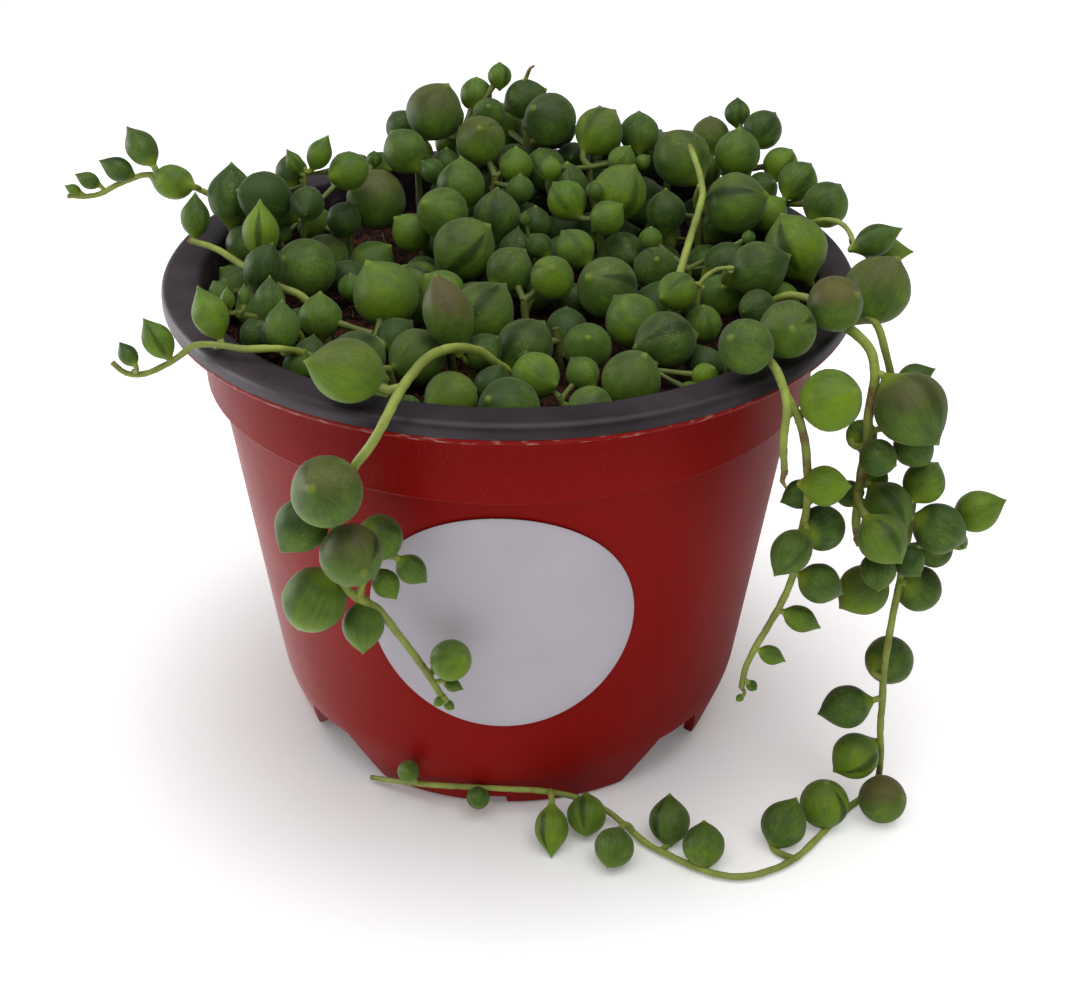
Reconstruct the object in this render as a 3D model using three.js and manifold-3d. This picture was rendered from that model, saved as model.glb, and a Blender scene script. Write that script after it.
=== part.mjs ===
// A potted string of pearls: a two-tone nursery pot filled with peat, and a trailing succulent
// whose stems carry round, pointed leaves. Millimetres, +Z up, origin at the middle of the pot's
// base, -Y towards the side with the label, +X to its right.
import * as THREE from 'three';
import { mergeVertices } from 'three/addons/utils/BufferGeometryUtils.js';
import Module from 'manifold-3d';

const wasm = await Module();
wasm.setup();

// ---- Driving dimensions ----
const gap = 0.3;             // air between two solids that rest on each other
const pot = {
  height: 73.4,
  lipRadius: 50, lipInner: 44.3, lipDrop: 3,
  collarRadius: 45, collarFoot: 59,      // the band under the lip, and the height where it ends
  shoulderRadius: 42.8, shoulderHeight: 58.2,
  heelRadius: 36.1, heelHeight: 9,       // below the heel the wall turns in more sharply
  footRadius: 32.8, wall: 0.9,
  ringInner: 31.2, ringTop: 34,          // the inside of the foot ring, at the ground and at its top
  channelHeight: 8.4, floorHeight: 9.3,  // under and over the raised floor
  padRadius: 13, padSlope: 1.2,          // in the middle the floor dips down to stand on the ground
  holes: 6, holeRadius: 2.4, holeCircle: 21,
  // the drain arches in the foot, as [degrees round, width at the ground, width at the top, height]
  arches: [[-139.5, 18, 9.5, 8.1], [-92, 3, 3, 1.8], [-43, 17.5, 9, 8.1], [-2, 3, 3, 1.8],
    [45, 18, 9.5, 8.1], [88, 3, 3, 1.8], [135, 18, 9.5, 8.1], [178, 3, 3, 1.8]],
};
const label = { radius: 19, height: 37, turn: -0.5, thickness: 0.4, gap: 0.45 };
const soil = { top: 65.5, relief: 0.7, holeDepth: 4, holeRadius: 1.15 };
const growth = {
  stemStep: 4.4,             // length of the straight stretches that a stem is made of
  stalkRadius: 0.7,          // the hidden stems in the middle of each tuft
  buried: [-3.4, -1, 1],     // heights over the peat that a stem passes straight up through
  lowestNeck: 1.4,           // necks leave a stem above this height over the peat
  neckRadius: 0.45,          // the short neck between a stem and a leaf
  clearance: 0.4,            // air between leaves of different stems
  tipLength: 0.16,           // how far the point stands out, as a share of the leaf's length
  bigLeaf: 3.35, smallLeaf: 2.15, // radii: a leaf has 6 sides over the first, 4 under the second
};

// ---- Stems that can be followed by eye, each with its leaves ----
// A leaf is [x, y, z, width, tip, stretch]. The letters of tip add up to the direction of its
// point: U up, D down, L left, R right, F front, B back. Stretch is length over width.
const strands = {
  strand_left_high: {
    radius: 0.5, foot: [-34, 14],
    stem: [[-35.5, 13.5, 71], [-38.5, 13, 74.5], [-43, 12.5, 77.6], [-47.2, 12, 80], [-50.5, 12, 81],
      [-54, 12, 82], [-58.3, 12, 80.6], [-62, 12, 78.7], [-66.3, 12, 78.5]],
    leaves: [[-41.4, 10.4, 78.8, 7.2, 'UUB', 1.15], [-50.3, 11, 81.4, 5.2, 'LLB', 1.35],
      [-54.8, 13, 85.6, 4.6, 'ULB', 1.4], [-58.2, 12, 82.9, 3.6, 'LLU', 1.35],
      [-63, 12, 80.9, 2.5, 'ULL', 1.4], [-65.2, 12, 79.6, 1.7, 'ULL', 1.4]],
  },
  strand_left_cut: {
    radius: 0.6, foot: [-26, -10],
    stem: [[-27, -9.8, 69.5], [-29.5, -9.6, 72.4], [-32.6, -9, 73.5], [-34.9, -8, 74.6],
      [-38.2, -6, 75.5], [-41.5, -4, 76.8], [-45.8, -2, 77.4]],
    leaves: [[-45.3, 0.8, 79.8, 4.2, 'UUB', 1.35], [-35.1, -5, 80, 5.2, 'UUUB', 1.4]],
  },
  strand_left_low: {
    radius: 0.5, foot: [-24, -24],
    stem: [[-25, -25.5, 69.5], [-27, -30, 73.4], [-30, -32.6, 75.2], [-34, -32.4, 75],
      [-38, -31.2, 75], [-40.8, -30.4, 74.4], [-43.6, -30, 72.2], [-46.4, -30, 70.6],
      [-48.4, -30, 69.9], [-50.4, -30, 70.2], [-51.9, -30, 71.7]],
    leaves: [[-49.7, -30, 72.8, 2.5, 'ULB', 1.4], [-45.6, -30, 75, 4, 'UUL', 1.4],
      [-38.8, -27.4, 77.6, 4.8, 'UUBL', 1.35], [-29.6, -28.4, 76.6, 4.8, 'UUB', 1.2],
      [-27.5, -29.6, 71.3, 4, 'UUR', 1.1]],
  },
  strand_left_buds: {
    radius: 0.45, foot: [-27.5, -18.5],
    stem: [[-28, -19, 69.5], [-29.4, -21, 73.4], [-32, -23, 75], [-34.2, -23.6, 75.6],
      [-36, -24, 76.4]],
    leaves: [[-37, -24.2, 78.2, 2, 'UU', 1.5], [-34.6, -23.8, 78.6, 1.7, 'UUB', 1.6],
      [-31.7, -24.6, 77.8, 4.3, 'UUB', 1.3]],
  },
  strand_left_upright: {
    radius: 0.45, foot: [-31.5, 13.5],
    stem: [[-31.5, 13, 69], [-31.2, 11.5, 74], [-30.6, 10, 79], [-30.2, 9, 84.4]],
    leaves: [[-28.4, 9, 86.4, 3.6, 'UUR', 1.4], [-31.2, 9, 85.4, 2.4, 'UUL', 1.5]],
  },
  strand_front: {
    radius: 0.65, foot: [0.4, -26.5],
    stem: [[0.2, -27.4, 69.4], [-1.4, -29.3, 71.8], [-3.6, -31.2, 74.4], [-6.5, -34, 76.2],
      [-9.4, -39, 77.4], [-11.6, -44.4, 77.2], [-13, -49, 76.6], [-14.4, -51.8, 74.6],
      [-15.9, -52.4, 72], [-18.1, -52, 68.6], [-20.3, -51.4, 62.5], [-21.4, -50.6, 55.5],
      [-20.3, -49.6, 49.4], [-18.7, -48.6, 47], [-16.5, -47.8, 45], [-15, -47.2, 42.3],
      [-13.2, -46.6, 38.8], [-11.3, -45.6, 34.8], [-9.8, -44.8, 31.3], [-8.8, -44.2, 28.7],
      [-8, -43.8, 27.2]],
    leaves: [[-21.4, -54.4, 66.5, 8.9, 'FFFUUL', 1], [-25.5, -49.4, 58.6, 6.8, 'LDF', 1.05],
      [-18.6, -52.7, 56.6, 8, 'FFR', 1], [-16.2, -47.4, 55.4, 6, 'RDB', 1.05],
      [-12.4, -47.4, 50.4, 3.8, 'RD', 1.15], [-14.8, -47.2, 48.9, 3.6, 'RDF', 1.15],
      [-24.4, -49.2, 47.1, 8.4, 'DDL', 1.05], [-18.5, -48.6, 42.9, 5.6, 'DDF', 1.1],
      [-7.1, -45.2, 35, 5.7, 'FRU', 1], [-7, -44.6, 30.4, 1.9, 'RRD', 1.4],
      [-8.9, -44.6, 27.6, 1.4, 'DL', 1.2], [-7.6, -43.8, 26.4, 1.4, 'DR', 1.2]],
  },
  strand_brown_leaf: {
    radius: 0.5, foot: [-4.6, -24],
    stem: [[-4.8, -25, 69], [-5.4, -27.2, 71], [-6.4, -28, 72.6]],
    leaves: [[-8.2, -26, 76.8, 6.6, 'UUULB', 1.5]],
  },
  strand_right_bare: {
    radius: 0.6, foot: [22.6, -9.5],
    stem: [[22.9, -11.6, 70], [23.2, -11.8, 74], [24.5, -8.4, 77.4], [25.8, -3.6, 79.4],
      [27.3, 2, 81.4], [27.9, 5, 82.6], [27.6, 8, 84.4], [26.8, 10.6, 86.2], [26.2, 11.8, 87.4]],
    leaves: [[33.2, 7.6, 80.1, 8.9, 'RRFU', 1]],
  },
  strand_right_side: {
    radius: 0.45, foot: [26.4, -12.6],
    stem: [[26.4, -13, 70], [26.6, -13, 76], [28.6, -12.4, 78], [31.2, -11.6, 78]],
    leaves: [[35.6, -10.4, 75.6, 7.9, 'RRU', 1], [23.2, -16, 76.4, 5.4, 'LF', 1.05]],
  },
  strand_right_top: {
    radius: 0.45, foot: [38, 2],
    stem: [[38.8, 2.8, 70], [41.6, 3.6, 76], [44, 1.6, 79.6], [46.4, -3, 81.6], [47.4, -7.4, 82],
      [47.8, -11, 81.4]],
    leaves: [[50.4, -12.6, 82.6, 4.4, 'RRU', 1.4], [52.4, -9.4, 79.8, 4.2, 'RR', 1.5],
      [41, -2.6, 77.4, 9, 'LUUB', 1]],
  },
  strand_cluster: {
    radius: 0.7, foot: [36.5, -15],
    stem: [[37, -16, 70], [39.2, -18.8, 74.8], [43.6, -23.2, 75.4], [46, -26.4, 75.4],
      [48.2, -28.6, 73.6], [48.8, -30, 70.6], [48.3, -31, 66], [48.4, -31.6, 61.5], [48.1, -31.6, 57],
      [48, -31.6, 52], [48.4, -31.6, 47.5], [50.2, -31.4, 44.6], [53, -30.6, 43.8],
      [56.6, -29.6, 44], [60.2, -28.8, 44.4], [62.9, -28.4, 45.4]],
    leaves: [[53.1, -33.2, 67.4, 9.7, 'RFD', 1],
      [54.6, -27.4, 68.8, 3.8, 'RRU', 1.25], [48.4, -27.4, 60.4, 4.3, 'BR', 1],
      [49.6, -35, 61.6, 5, 'FR', 1], [55, -30.4, 59.6, 5.4, 'RD', 1.1], [51, -28.6, 53.8, 3.6, 'RB', 1],
      [56, -28, 53, 5.8, 'RUB', 1], [52.2, -33.6, 52.9, 6.8, 'RFD', 1],
      [59.2, -31, 49.4, 7.1, 'RRD', 1.05], [65.1, -28, 48.4, 5.8, 'RRU', 1.15],
      [63.4, -29, 44.8, 2.5, 'RD', 1.1], [60.6, -26.4, 41, 5.1, 'DB', 1], [50.6, -38.6, 51.8, 6.7, 'FDR', 1],
      [55.2, -34.4, 45, 4.4, 'FDR', 1], [51.4, -36.4, 44.6, 5, 'FD', 1], [50.6, -29.8, 36.8, 7.2, 'DL', 1],
      [47.4, -28, 51.5, 3.8, 'LDB', 1]],
  },
  strand_long: {
    radius: 0.55, foot: [33.5, -9.5],
    stem: [[34.4, -10.6, 70], [38.6, -13.6, 74.8], [43.6, -17.4, 75.4], [47.6, -20.4, 75.8],
      [49.8, -22.2, 74.6], [51.2, -23.4, 71], [52.6, -24.2, 66.6], [55.6, -25.2, 60], [56.8, -25.8, 53],
      [56.8, -26.2, 46], [56, -28.4, 38.7], [55.2, -29.8, 32],
      [54.9, -30, 23], [55.2, -30, 17.7], [55.5, -30, 12], [56.2, -29.6, 6.2], [56, -29.8, 2.4],
      [54.6, -31, 1], [51.5, -33.9, 0.9], [47.9, -38.3, 0.9], [44.4, -42.8, 0.9], [41.9, -45.6, 0.9],
      [38, -48.2, 0.9], [34.3, -49.5, 0.9], [30.8, -49.2, 0.9], [28, -47.9, 0.9], [23.9, -45.2, 0.9],
      [20.5, -42.4, 0.9], [17.7, -39, 1.2], [14.6, -36.6, 2.2], [11, -35.9, 3.6], [6, -35.6, 4.6],
      [-0.8, -35.6, 5.1], [-6.8, -34.9, 4.8], [-13, -32.6, 3.4], [-17.7, -30, 1.9], [-20.5, -28.5, 1.2]],
    leaves: [[50.2, -18, 77.9, 9.2, 'UUR', 1], [59.1, -27.3, 36, 6.6, 'RDB', 1],
      [56.4, -26, 22.1, 7.2, 'BR', 1], [50, -30.2, 16.6, 6.4, 'LLLD', 1.1],
      [52, -31.2, 8.2, 6.9, 'LLFD', 1], [55.8, -35.5, 3.7, 7.1, 'RFU', 1],
      [47, -36.8, 3.8, 7.2, 'U', 1], [40.6, -41.2, 3.5, 6.6, 'UUBR', 1.05], [28.6, -45.8, 3.4, 6.1, 'UUB', 1],
      [24, -40.6, 3.4, 6, 'UUB', 1.1], [15.8, -46.1, 3.1, 5.7, 'FFFLD', 1],
      [11.4, -39.4, 3.2, 5.8, 'FFD', 1],
      [7.4, -42, 3, 4.9, 'FD', 1.35], [-4, -36.4, 3.9, 3.4, 'FF', 1], [-14.2, -34.9, 7.8, 3.2, 'UF', 1]],
  },
  strand_right_rim: {
    radius: 0.6, foot: [34.4, -18.4],
    stem: [[35.2, -19.6, 71], [36.6, -22.8, 75.2], [38.4, -26, 77.2]],
    leaves: [[36.6, -30.6, 76.8, 7.6, 'FFU', 1], [41.7, -27.4, 78, 7.4, 'RFU', 1]],
  },
  strand_right_low: {
    radius: 0.6, foot: [29.6, -23.6],
    stem: [[30.2, -25, 70], [31.4, -29.4, 74.6], [33.2, -34, 75.6], [34.6, -37.6, 75.2], [35.8, -39.6, 72.8],
      [37.2, -39.6, 70.4], [38.6, -39, 66.6], [39.5, -38.4, 62], [40, -38, 58], [40, -38, 54],
      [39.4, -38, 49.5], [39.1, -38, 44.6], [38, -38, 40.4], [36.3, -38, 36], [34.9, -38, 32.7],
      [33.6, -38, 28.6], [33.3, -38, 25.6]],
    branches: [[[35.6, -39.6, 73.4], [35.8, -41.4, 71.6], [35.6, -42, 68], [35.9, -41.6, 64.8],
      [36.3, -41, 62]]],
    leaves: [[31.1, -35.6, 77.7, 7.2, 'LFU', 1], [41.5, -40, 72.2, 8, 'RFU', 1],
      [41.9, -39.6, 59.4, 5.4, 'RR', 1.05], [39.4, -35.6, 55.8, 4, 'LLD', 1.15],
      [42, -37.4, 51.2, 6.2, 'RB', 1], [38.6, -40.8, 50.4, 5.4, 'DFL', 1.2],
      [42.8, -38.2, 43.3, 5.5, 'RRD', 1.1], [40.7, -38, 37.3, 3.6, 'RRD', 1.45],
      [37.1, -38, 31.2, 2.7, 'RRD', 1.4], [34.7, -38.2, 26.1, 1.6, 'RD', 1.1],
      [33.2, -38, 23.8, 1.1, 'DL', 1.1]],
  },
};

// ---- The mound: leaves that hide their stems, as seen from outside ----
const moundLeaves = [
  // left
  [-30.6, 19.6, 71.4, 5.6, 'UUL'], [-26.9, 22.8, 77, 2.6, 'UU'], [-20.9, 19, 76, 9.3, 'LUF'],
  [-23.3, 23.6, 80, 2.4, 'UUL'], [-20, 22, 81, 2.4, 'UU'], [-16.1, 22.9, 80, 6.8, 'LUB'],
  [-16.6, 30.8, 83.4, 5.6, 'LUB'], [-40, 6, 72, 5.8, 'RUB'], [-41, 4, 70.4, 4.6, 'LU'],
  [-33.5, 6.6, 75, 2.4, 'UR'], [-28.7, 10.4, 70, 7.2, 'UF'], [-29.5, -2.8, 73.4, 8.9, 'LUF'],
  [-34.9, 7, 70, 5, 'UL'], [-20.7, 9, 69.8, 6.6, 'UR'], [-39, -1.6, 69.6, 6.8, 'LUF'],
  [-34.9, -8, 69.6, 7, 'LF'], [-41.4, -8.6, 71.4, 3.7, 'UUL'], [-26.4, -17.5, 71.8, 6, 'UUB'],
  [-19.3, -44.8, 77.9, 8.1, 'LLFU', 1.2], [-19.6, -26, 70.6, 7.6, 'FL'],
  [-15.9, -12.5, 74, 9.2, 'UUL'], [-22.5, -6.7, 72.4, 3.7, 'UU'], [-13, -1.2, 71, 5.8, 'LU'],
  // centre and front
  [-8.6, -12.3, 73.4, 6.1, 'UL'], [-4.1, -16, 73, 8.8, 'URB'], [-5.6, -7, 70.2, 7, 'FU'],
  [-0.6, -6.4, 73.6, 6.6, 'URB'], [-6.9, -0.2, 76.4, 9, 'RU'], [6.2, -9, 75.2, 6.2, 'FU'],
  [3.6, -4, 70.6, 5, 'U'], [13.6, -10.2, 74, 8.7, 'LFU'], [1.8, -22, 71.2, 7.8, 'URB'],
  [10.9, -22.6, 71, 6.6, 'FU'], [10.6, -31.2, 71.2, 4.5, 'LUB'], [1.2, -38.4, 70, 8, 'LFU'],
  [5.6, -34.4, 69.4, 6.3, 'RF'], [3, -29.6, 72, 2, 'UU'], [-6.4, -36, 69.8, 7, 'FL'],
  [-12, -25, 69.6, 7.8, 'FL'], [-12, -37, 69, 3.6, 'FU'], [11, -38.8, 70, 6, 'FL'],
  [16.3, -32, 71, 7.8, 'FU'], [26.2, -31, 71, 3.4, 'RU'], [24, -34, 70.4, 2.4, 'RU'],
  // top
  [-0.5, 7.1, 77.8, 6.8, 'UUB'], [-7.7, 13.5, 80, 7.2, 'UUB'], [-9.5, 6, 78.3, 7.6, 'LFU'],
  [-15.4, 10, 73.6, 5.8, 'LU'], [-12.3, 18.9, 80.6, 3.7, 'UL'], [-9.6, 22.6, 80.6, 4.3, 'U'],
  [-5.1, 23, 83.2, 7.6, 'FU'], [0.2, 21, 80.4, 5.2, 'U'], [-13.1, 27.5, 86, 8.7, 'UUR'],
  [-9.8, 35.4, 83.6, 5.7, 'UB'], [-3.8, 30.6, 85.4, 5.2, 'FU'], [-5.4, 37, 86.9, 5.2, 'UB'],
  [-2.4, 37, 87.8, 3.8, 'UUB'], [0.8, 36.6, 86.6, 6.4, 'URR'], [6.2, 27.6, 85.2, 8.1, 'LUF'],
  [14, 25.7, 84.6, 7.4, 'URB'], [18.5, 27.6, 83.7, 6.2, 'UB'], [16.7, 18.6, 82.2, 4.3, 'URU'],
  [20, 20.4, 81.6, 2.4, 'UR'], [4.6, 24.2, 79.4, 6.6, 'F'], [1.3, 14.5, 79.2, 4.2, 'U'],
  [9.8, 19, 79.2, 6.6, 'U'], [6.4, 16, 81.4, 3.3, 'UUB'], [7.6, 9.5, 78.8, 5.9, 'ULB'],
  [3.6, 8.6, 77.4, 4.8, 'U'], [2.1, 4.6, 78.6, 2, 'UU'], [4.8, 0.3, 76, 3.8, 'ULB'],
  [9, -0.3, 76, 5.6, 'ULB'], [11.9, 9.2, 81, 2.6, 'U'], [16.2, 11.4, 79, 8.2, 'UUR'],
  [14.2, 4.6, 78.8, 5, 'UR'],
  // right
  [25.9, 20, 82.4, 8.7, 'LUB'], [35.2, 20.3, 82.3, 7, 'UU'], [38.1, 18.6, 79.6, 5, 'UFR'],
  [38.6, 12, 76.8, 5.6, 'RU'], [38, 25.4, 84.5, 6, 'URB'], [35.1, 28.4, 85.6, 4, 'UUB'],
  [31.5, 28.6, 83.4, 6, 'UB'], [30, 24.4, 79, 4.8, 'U'], [40.4, 22.4, 81.4, 5.4, 'URB'],
  [42.8, 14.8, 80.7, 6, 'RUB'], [46.5, 9.4, 79.4, 6.8, 'RUB'], [42.4, 7.6, 74.6, 3.6, 'UR'],
  [34.6, 1.4, 77.2, 2, 'UU'], [21.1, -1.4, 73.4, 6.4, 'FU'], [20.6, 4.4, 75.6, 3.5, 'UU'],
  [21.8, 11.4, 77.6, 6, 'UUB'], [17.4, -17.4, 72.6, 7.6, 'LUB'], [20.6, -24.4, 72.4, 8, 'LLF'],
  [30.4, -6.2, 71.4, 6.2, 'FU'],
  // back, behind the top
  [-9.6, 40.4, 77.4, 6.6, 'BUL'], [-2, 42, 79.6, 7, 'BU'], [6.4, 41, 80, 7.4, 'BUR'],
  [13.7, 36.6, 80.8, 7, 'BU'], [21.4, 34.4, 78.5, 7.2, 'BUR'], [28.6, 34.4, 77, 6.6, 'BR'],
  [-16, 37, 76.6, 6, 'BL'], [35.6, 32.4, 76.2, 5.4, 'BR'], [14.6, 43, 75, 6, 'BD'],
  [2, 46.4, 76.4, 5.4, 'BR'], [22.6, 40, 74.6, 5.6, 'BR'], [-21.6, 36.6, 74.6, 4.6, 'BL'],
];

// Each tuft's hidden stem: where it leaves the soil, and where it ends under the leaves.
const stalks = [
  [-14, -33, -15, -36, 74], [8, -34, 7, -34.4, 69.4], [19, -27.6, 19.4, -28.6, 70.6],
  [-17, -19, -18.4, -20, 71.4], [-7.6, -20, -8, -21, 70.6], [7.4, -18, 6.6, -17.4, 71.4],
  [25, -19.6, 24.6, -20, 70.4], [-3, -33.4, -2.4, -35, 69.6],
  [-34, -2.8, -34.4, -3, 70.6], [-20, -2, -21, -2.6, 70.6], [-9.4, -7, -9.6, -5.4, 72.4],
  [2.6, -11.4, 2.2, -10.6, 72.4], [12, -3.4, 12.2, -4.4, 73.4], [26.4, 0.4, 26, 0.6, 72.6],
  [-36, 9.4, -36.6, 8.6, 71], [-24.6, 14.4, -25, 15, 73], [-10, 10, -10.6, 11, 76],
  [3, 3, 3, 3.6, 74], [14, 9, 12.8, 8.8, 78.8], [28.4, 12, 28.4, 14, 78.4], [38, 14, 40.4, 15.6, 77],
  [-14, 21.4, -14.6, 23.6, 79], [-3, 19, -2.6, 19.6, 79.4], [12.4, 19.6, 12, 21, 80.4],
  [24, 26, 24.4, 27, 79.4], [36.6, 22.4, 36.4, 23.4, 80], [-8, 31, -8, 33, 81.6],
  [2.4, 32, 2, 34, 82.4], [14, 32.4, 12.6, 32.6, 80], [30.4, 30, 31, 31.6, 78.4],
];

// ---- Helpers ----
const letters = { U: [0, 0, 1], D: [0, 0, -1], L: [-1, 0, 0], R: [1, 0, 0], F: [0, -1, 0], B: [0, 1, 0] };

function direction(word) {
  const sum = new THREE.Vector3();
  for (const letter of word) sum.add(new THREE.Vector3(...letters[letter]));
  return sum.normalize();
}

const vector = (numbers) => new THREE.Vector3(numbers[0], numbers[1], numbers[2]);

// A closed geometry as a manifold solid, turned right side out where it is inside out.
function solid(geometry) {
  const plain = geometry.clone();
  plain.deleteAttribute('normal');
  plain.deleteAttribute('uv');
  const merged = mergeVertices(plain, 1e-4);
  const vertProperties = new Float32Array(merged.attributes.position.array);
  const corners = [...merged.index.array];
  const triVerts = [];
  for (let i = 0; i < corners.length; i += 3) {
    const [a, b, c] = corners.slice(i, i + 3);
    if (a !== b && b !== c && c !== a) triVerts.push(a, b, c);
  }
  const build = (faces) => new wasm.Manifold(
    new wasm.Mesh({ numProp: 3, vertProperties, triVerts: new Uint32Array(faces) }));
  const shape = build(triVerts);
  if (shape.volume() > 0) return shape;
  const turned = [];
  for (let i = 0; i < triVerts.length; i += 3) turned.push(triVerts[i], triVerts[i + 2], triVerts[i + 1]);
  return build(turned);
}

// The one body of a shape, without the small hollows that joining and cutting may leave in it.
function largest(shape) {
  const shells = shape.decompose().toSorted((a, b) => b.volume() - a.volume());
  if (shells.length > 1 && shells[1].volume() > 0) throw new Error('a piece is loose');
  return shells[0];
}

function nodeMesh(name, shape, look) {
  const mesh = shape.getMesh();
  const geometry = new THREE.BufferGeometry();
  geometry.setAttribute('position', new THREE.BufferAttribute(new Float32Array(mesh.vertProperties), 3));
  geometry.setIndex(new THREE.BufferAttribute(new Uint32Array(mesh.triVerts), 1));
  const node = new THREE.Mesh(geometry, new THREE.MeshStandardMaterial(look));
  node.name = name;
  return node;
}

// Turns a profile of [radius, height] pairs round the Z axis.
function turned(profile, segments) {
  const points = profile.map(([radius, height]) => new THREE.Vector2(radius, height));
  return new THREE.LatheGeometry(points, segments).rotateX(Math.PI / 2);
}

// A rod of constant thickness along a curve.
function rod(curve, radius, sides, steps) {
  const section = new THREE.Shape();
  for (let i = 0; i < sides; i += 1) {
    const angle = (i / sides) * 2 * Math.PI;
    section[i === 0 ? 'moveTo' : 'lineTo'](radius * Math.cos(angle), radius * Math.sin(angle));
  }
  section.closePath();
  return new THREE.ExtrudeGeometry(section, { steps, bevelEnabled: false, extrudePath: curve });
}

// ---- Pot, soil and label ----
// The wall's outer radius at a height between the heel and the shoulder.
function wallRadius(height) {
  const share = (height - pot.heelHeight) / (pot.shoulderHeight - pot.heelHeight);
  return pot.heelRadius + (pot.shoulderRadius - pot.heelRadius) * share;
}

// A straight channel with sloped ends, from inside the foot ring out through the wall.
function archShape([degrees, width, topWidth, height]) {
  const half = width / 2;
  const halfTop = topWidth / 2;
  const corners = [[-half, -1], [half, -1], [half, 0], [halfTop, height], [-halfTop, height], [-half, 0]];
  const outline = new THREE.Shape(corners.map(([x, y]) => new THREE.Vector2(x, y)));
  const bar = new THREE.ExtrudeGeometry(outline, { depth: pot.footRadius, bevelEnabled: false });
  bar.rotateX(Math.PI / 2).rotateZ(Math.PI / 2).translate(pot.ringInner - 4, 0, 0);
  return solid(bar.rotateZ(THREE.MathUtils.degToRad(degrees)));
}

function potShape() {
  const p = pot;
  const lipBottom = p.height - p.lipDrop;
  const body = solid(turned([
    [0, 0], [p.padRadius, 0], [p.padRadius + p.padSlope, p.channelHeight],
    [p.ringTop, p.channelHeight], [p.ringInner, 0], [p.footRadius, 0],
    [p.heelRadius, p.heelHeight], [p.shoulderRadius, p.shoulderHeight], [p.collarRadius - 0.4, p.collarFoot],
    [p.collarRadius, lipBottom], [p.lipRadius - 0.5, lipBottom], [p.lipRadius, lipBottom + 0.5],
    [p.lipRadius, p.height - 0.9], [p.lipRadius - 0.9, p.height], [p.lipInner + 0.9, p.height],
    [p.lipInner, p.height - 1], [p.collarRadius - 0.4 - p.wall, p.collarFoot],
    [p.shoulderRadius - p.wall, p.shoulderHeight - 0.6], [p.heelRadius - p.wall, p.floorHeight],
    [p.padRadius - 0.8 + p.padSlope, p.floorHeight], [p.padRadius - 0.8, p.wall], [0, p.wall],
  ], 32));
  let shape = body;
  for (const arch of p.arches) shape = shape.subtract(archShape(arch));
  for (let i = 0; i < p.holes; i += 1) {
    const angle = (i / p.holes) * 2 * Math.PI;
    const hole = new THREE.CylinderGeometry(p.holeRadius, p.holeRadius, 4 * p.floorHeight, 10);
    hole.rotateX(Math.PI / 2).translate(p.holeCircle * Math.cos(angle), p.holeCircle * Math.sin(angle), 0);
    shape = shape.subtract(solid(hole));
  }
  return largest(shape);
}

// The height of the peat's uneven top: two crossing ripples.
function soilHeight(x, y) {
  const ripples = Math.sin(0.55 * x + 0.4) + Math.cos(0.6 * y + 0.2 * x);
  return soil.top + (soil.relief * ripples) / 2;
}

function soilShape(feet) {
  const inner = (radius) => radius - pot.wall - gap;
  const top = inner(pot.collarRadius - 0.3);
  const pad = pot.padRadius - 0.8 - gap;
  const surface = [1, 0.78, 0.5, 0.25, 0].map((share) => [top * share, soil.top]);
  const geometry = turned([
    [0, pot.wall + gap], [pad, pot.wall + gap], [pad + pot.padSlope, pot.floorHeight + gap],
    [inner(pot.heelRadius), pot.floorHeight + gap],
    [inner(pot.shoulderRadius) - 0.3, pot.shoulderHeight - 0.7],
    [inner(pot.collarRadius - 0.5), pot.collarFoot + 0.6], ...surface,
  ], 22);
  const position = geometry.attributes.position;
  for (let i = 0; i < position.count; i += 1) {
    const onTop = Math.abs(position.getZ(i) - soil.top) < 1e-6;
    const radius = Math.hypot(position.getX(i), position.getY(i));
    if (onTop && radius < top - 1) position.setZ(i, soilHeight(position.getX(i), position.getY(i)));
  }
  let shape = solid(geometry);
  for (const [x, y] of feet) {
    const hole = new THREE.CylinderGeometry(soil.holeRadius, soil.holeRadius, 2 * soil.holeDepth, 4);
    hole.rotateX(Math.PI / 2).translate(x, y, soil.top);
    shape = shape.subtract(solid(hole));
  }
  return shape;
}

// A round sticker laid on the wall: its flat outline is bent round the pot.
function labelShape() {
  const rings = [0, 0.55, 1].map((share) => share * label.radius);
  const back = rings.map((radius) => [radius, 0]);
  const face = rings.toReversed().map((radius) => [radius, label.thickness]);
  const geometry = turned([...back, ...face], 24);
  const slope = Math.atan2(pot.shoulderRadius - pot.heelRadius, pot.shoulderHeight - pot.heelHeight);
  const position = geometry.attributes.position;
  for (let i = 0; i < position.count; i += 1) {
    const height = label.height + position.getY(i) * Math.cos(slope);
    const radius = wallRadius(height) + label.gap + position.getZ(i);
    const angle = -Math.PI / 2 + (position.getX(i) + label.turn) / radius;
    position.setXYZ(i, radius * Math.cos(angle), radius * Math.sin(angle), height);
  }
  return solid(geometry);
}

// ---- The plant's layout ----
function makeLeaf([x, y, z, width, tip, stretch = 1], strand = null) {
  return { home: new THREE.Vector3(x, y, z), at: new THREE.Vector3(x, y, z), radius: width / 2,
    tip: direction(tip), stretch, strand };
}

function stemCurve(foot, points) {
  const [x, y] = foot;
  const buried = growth.buried.map((depth) => new THREE.Vector3(x, y, soil.top + depth));
  return new THREE.CatmullRomCurve3([...buried, ...points.map(vector)], false, 'centripetal');
}

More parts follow.
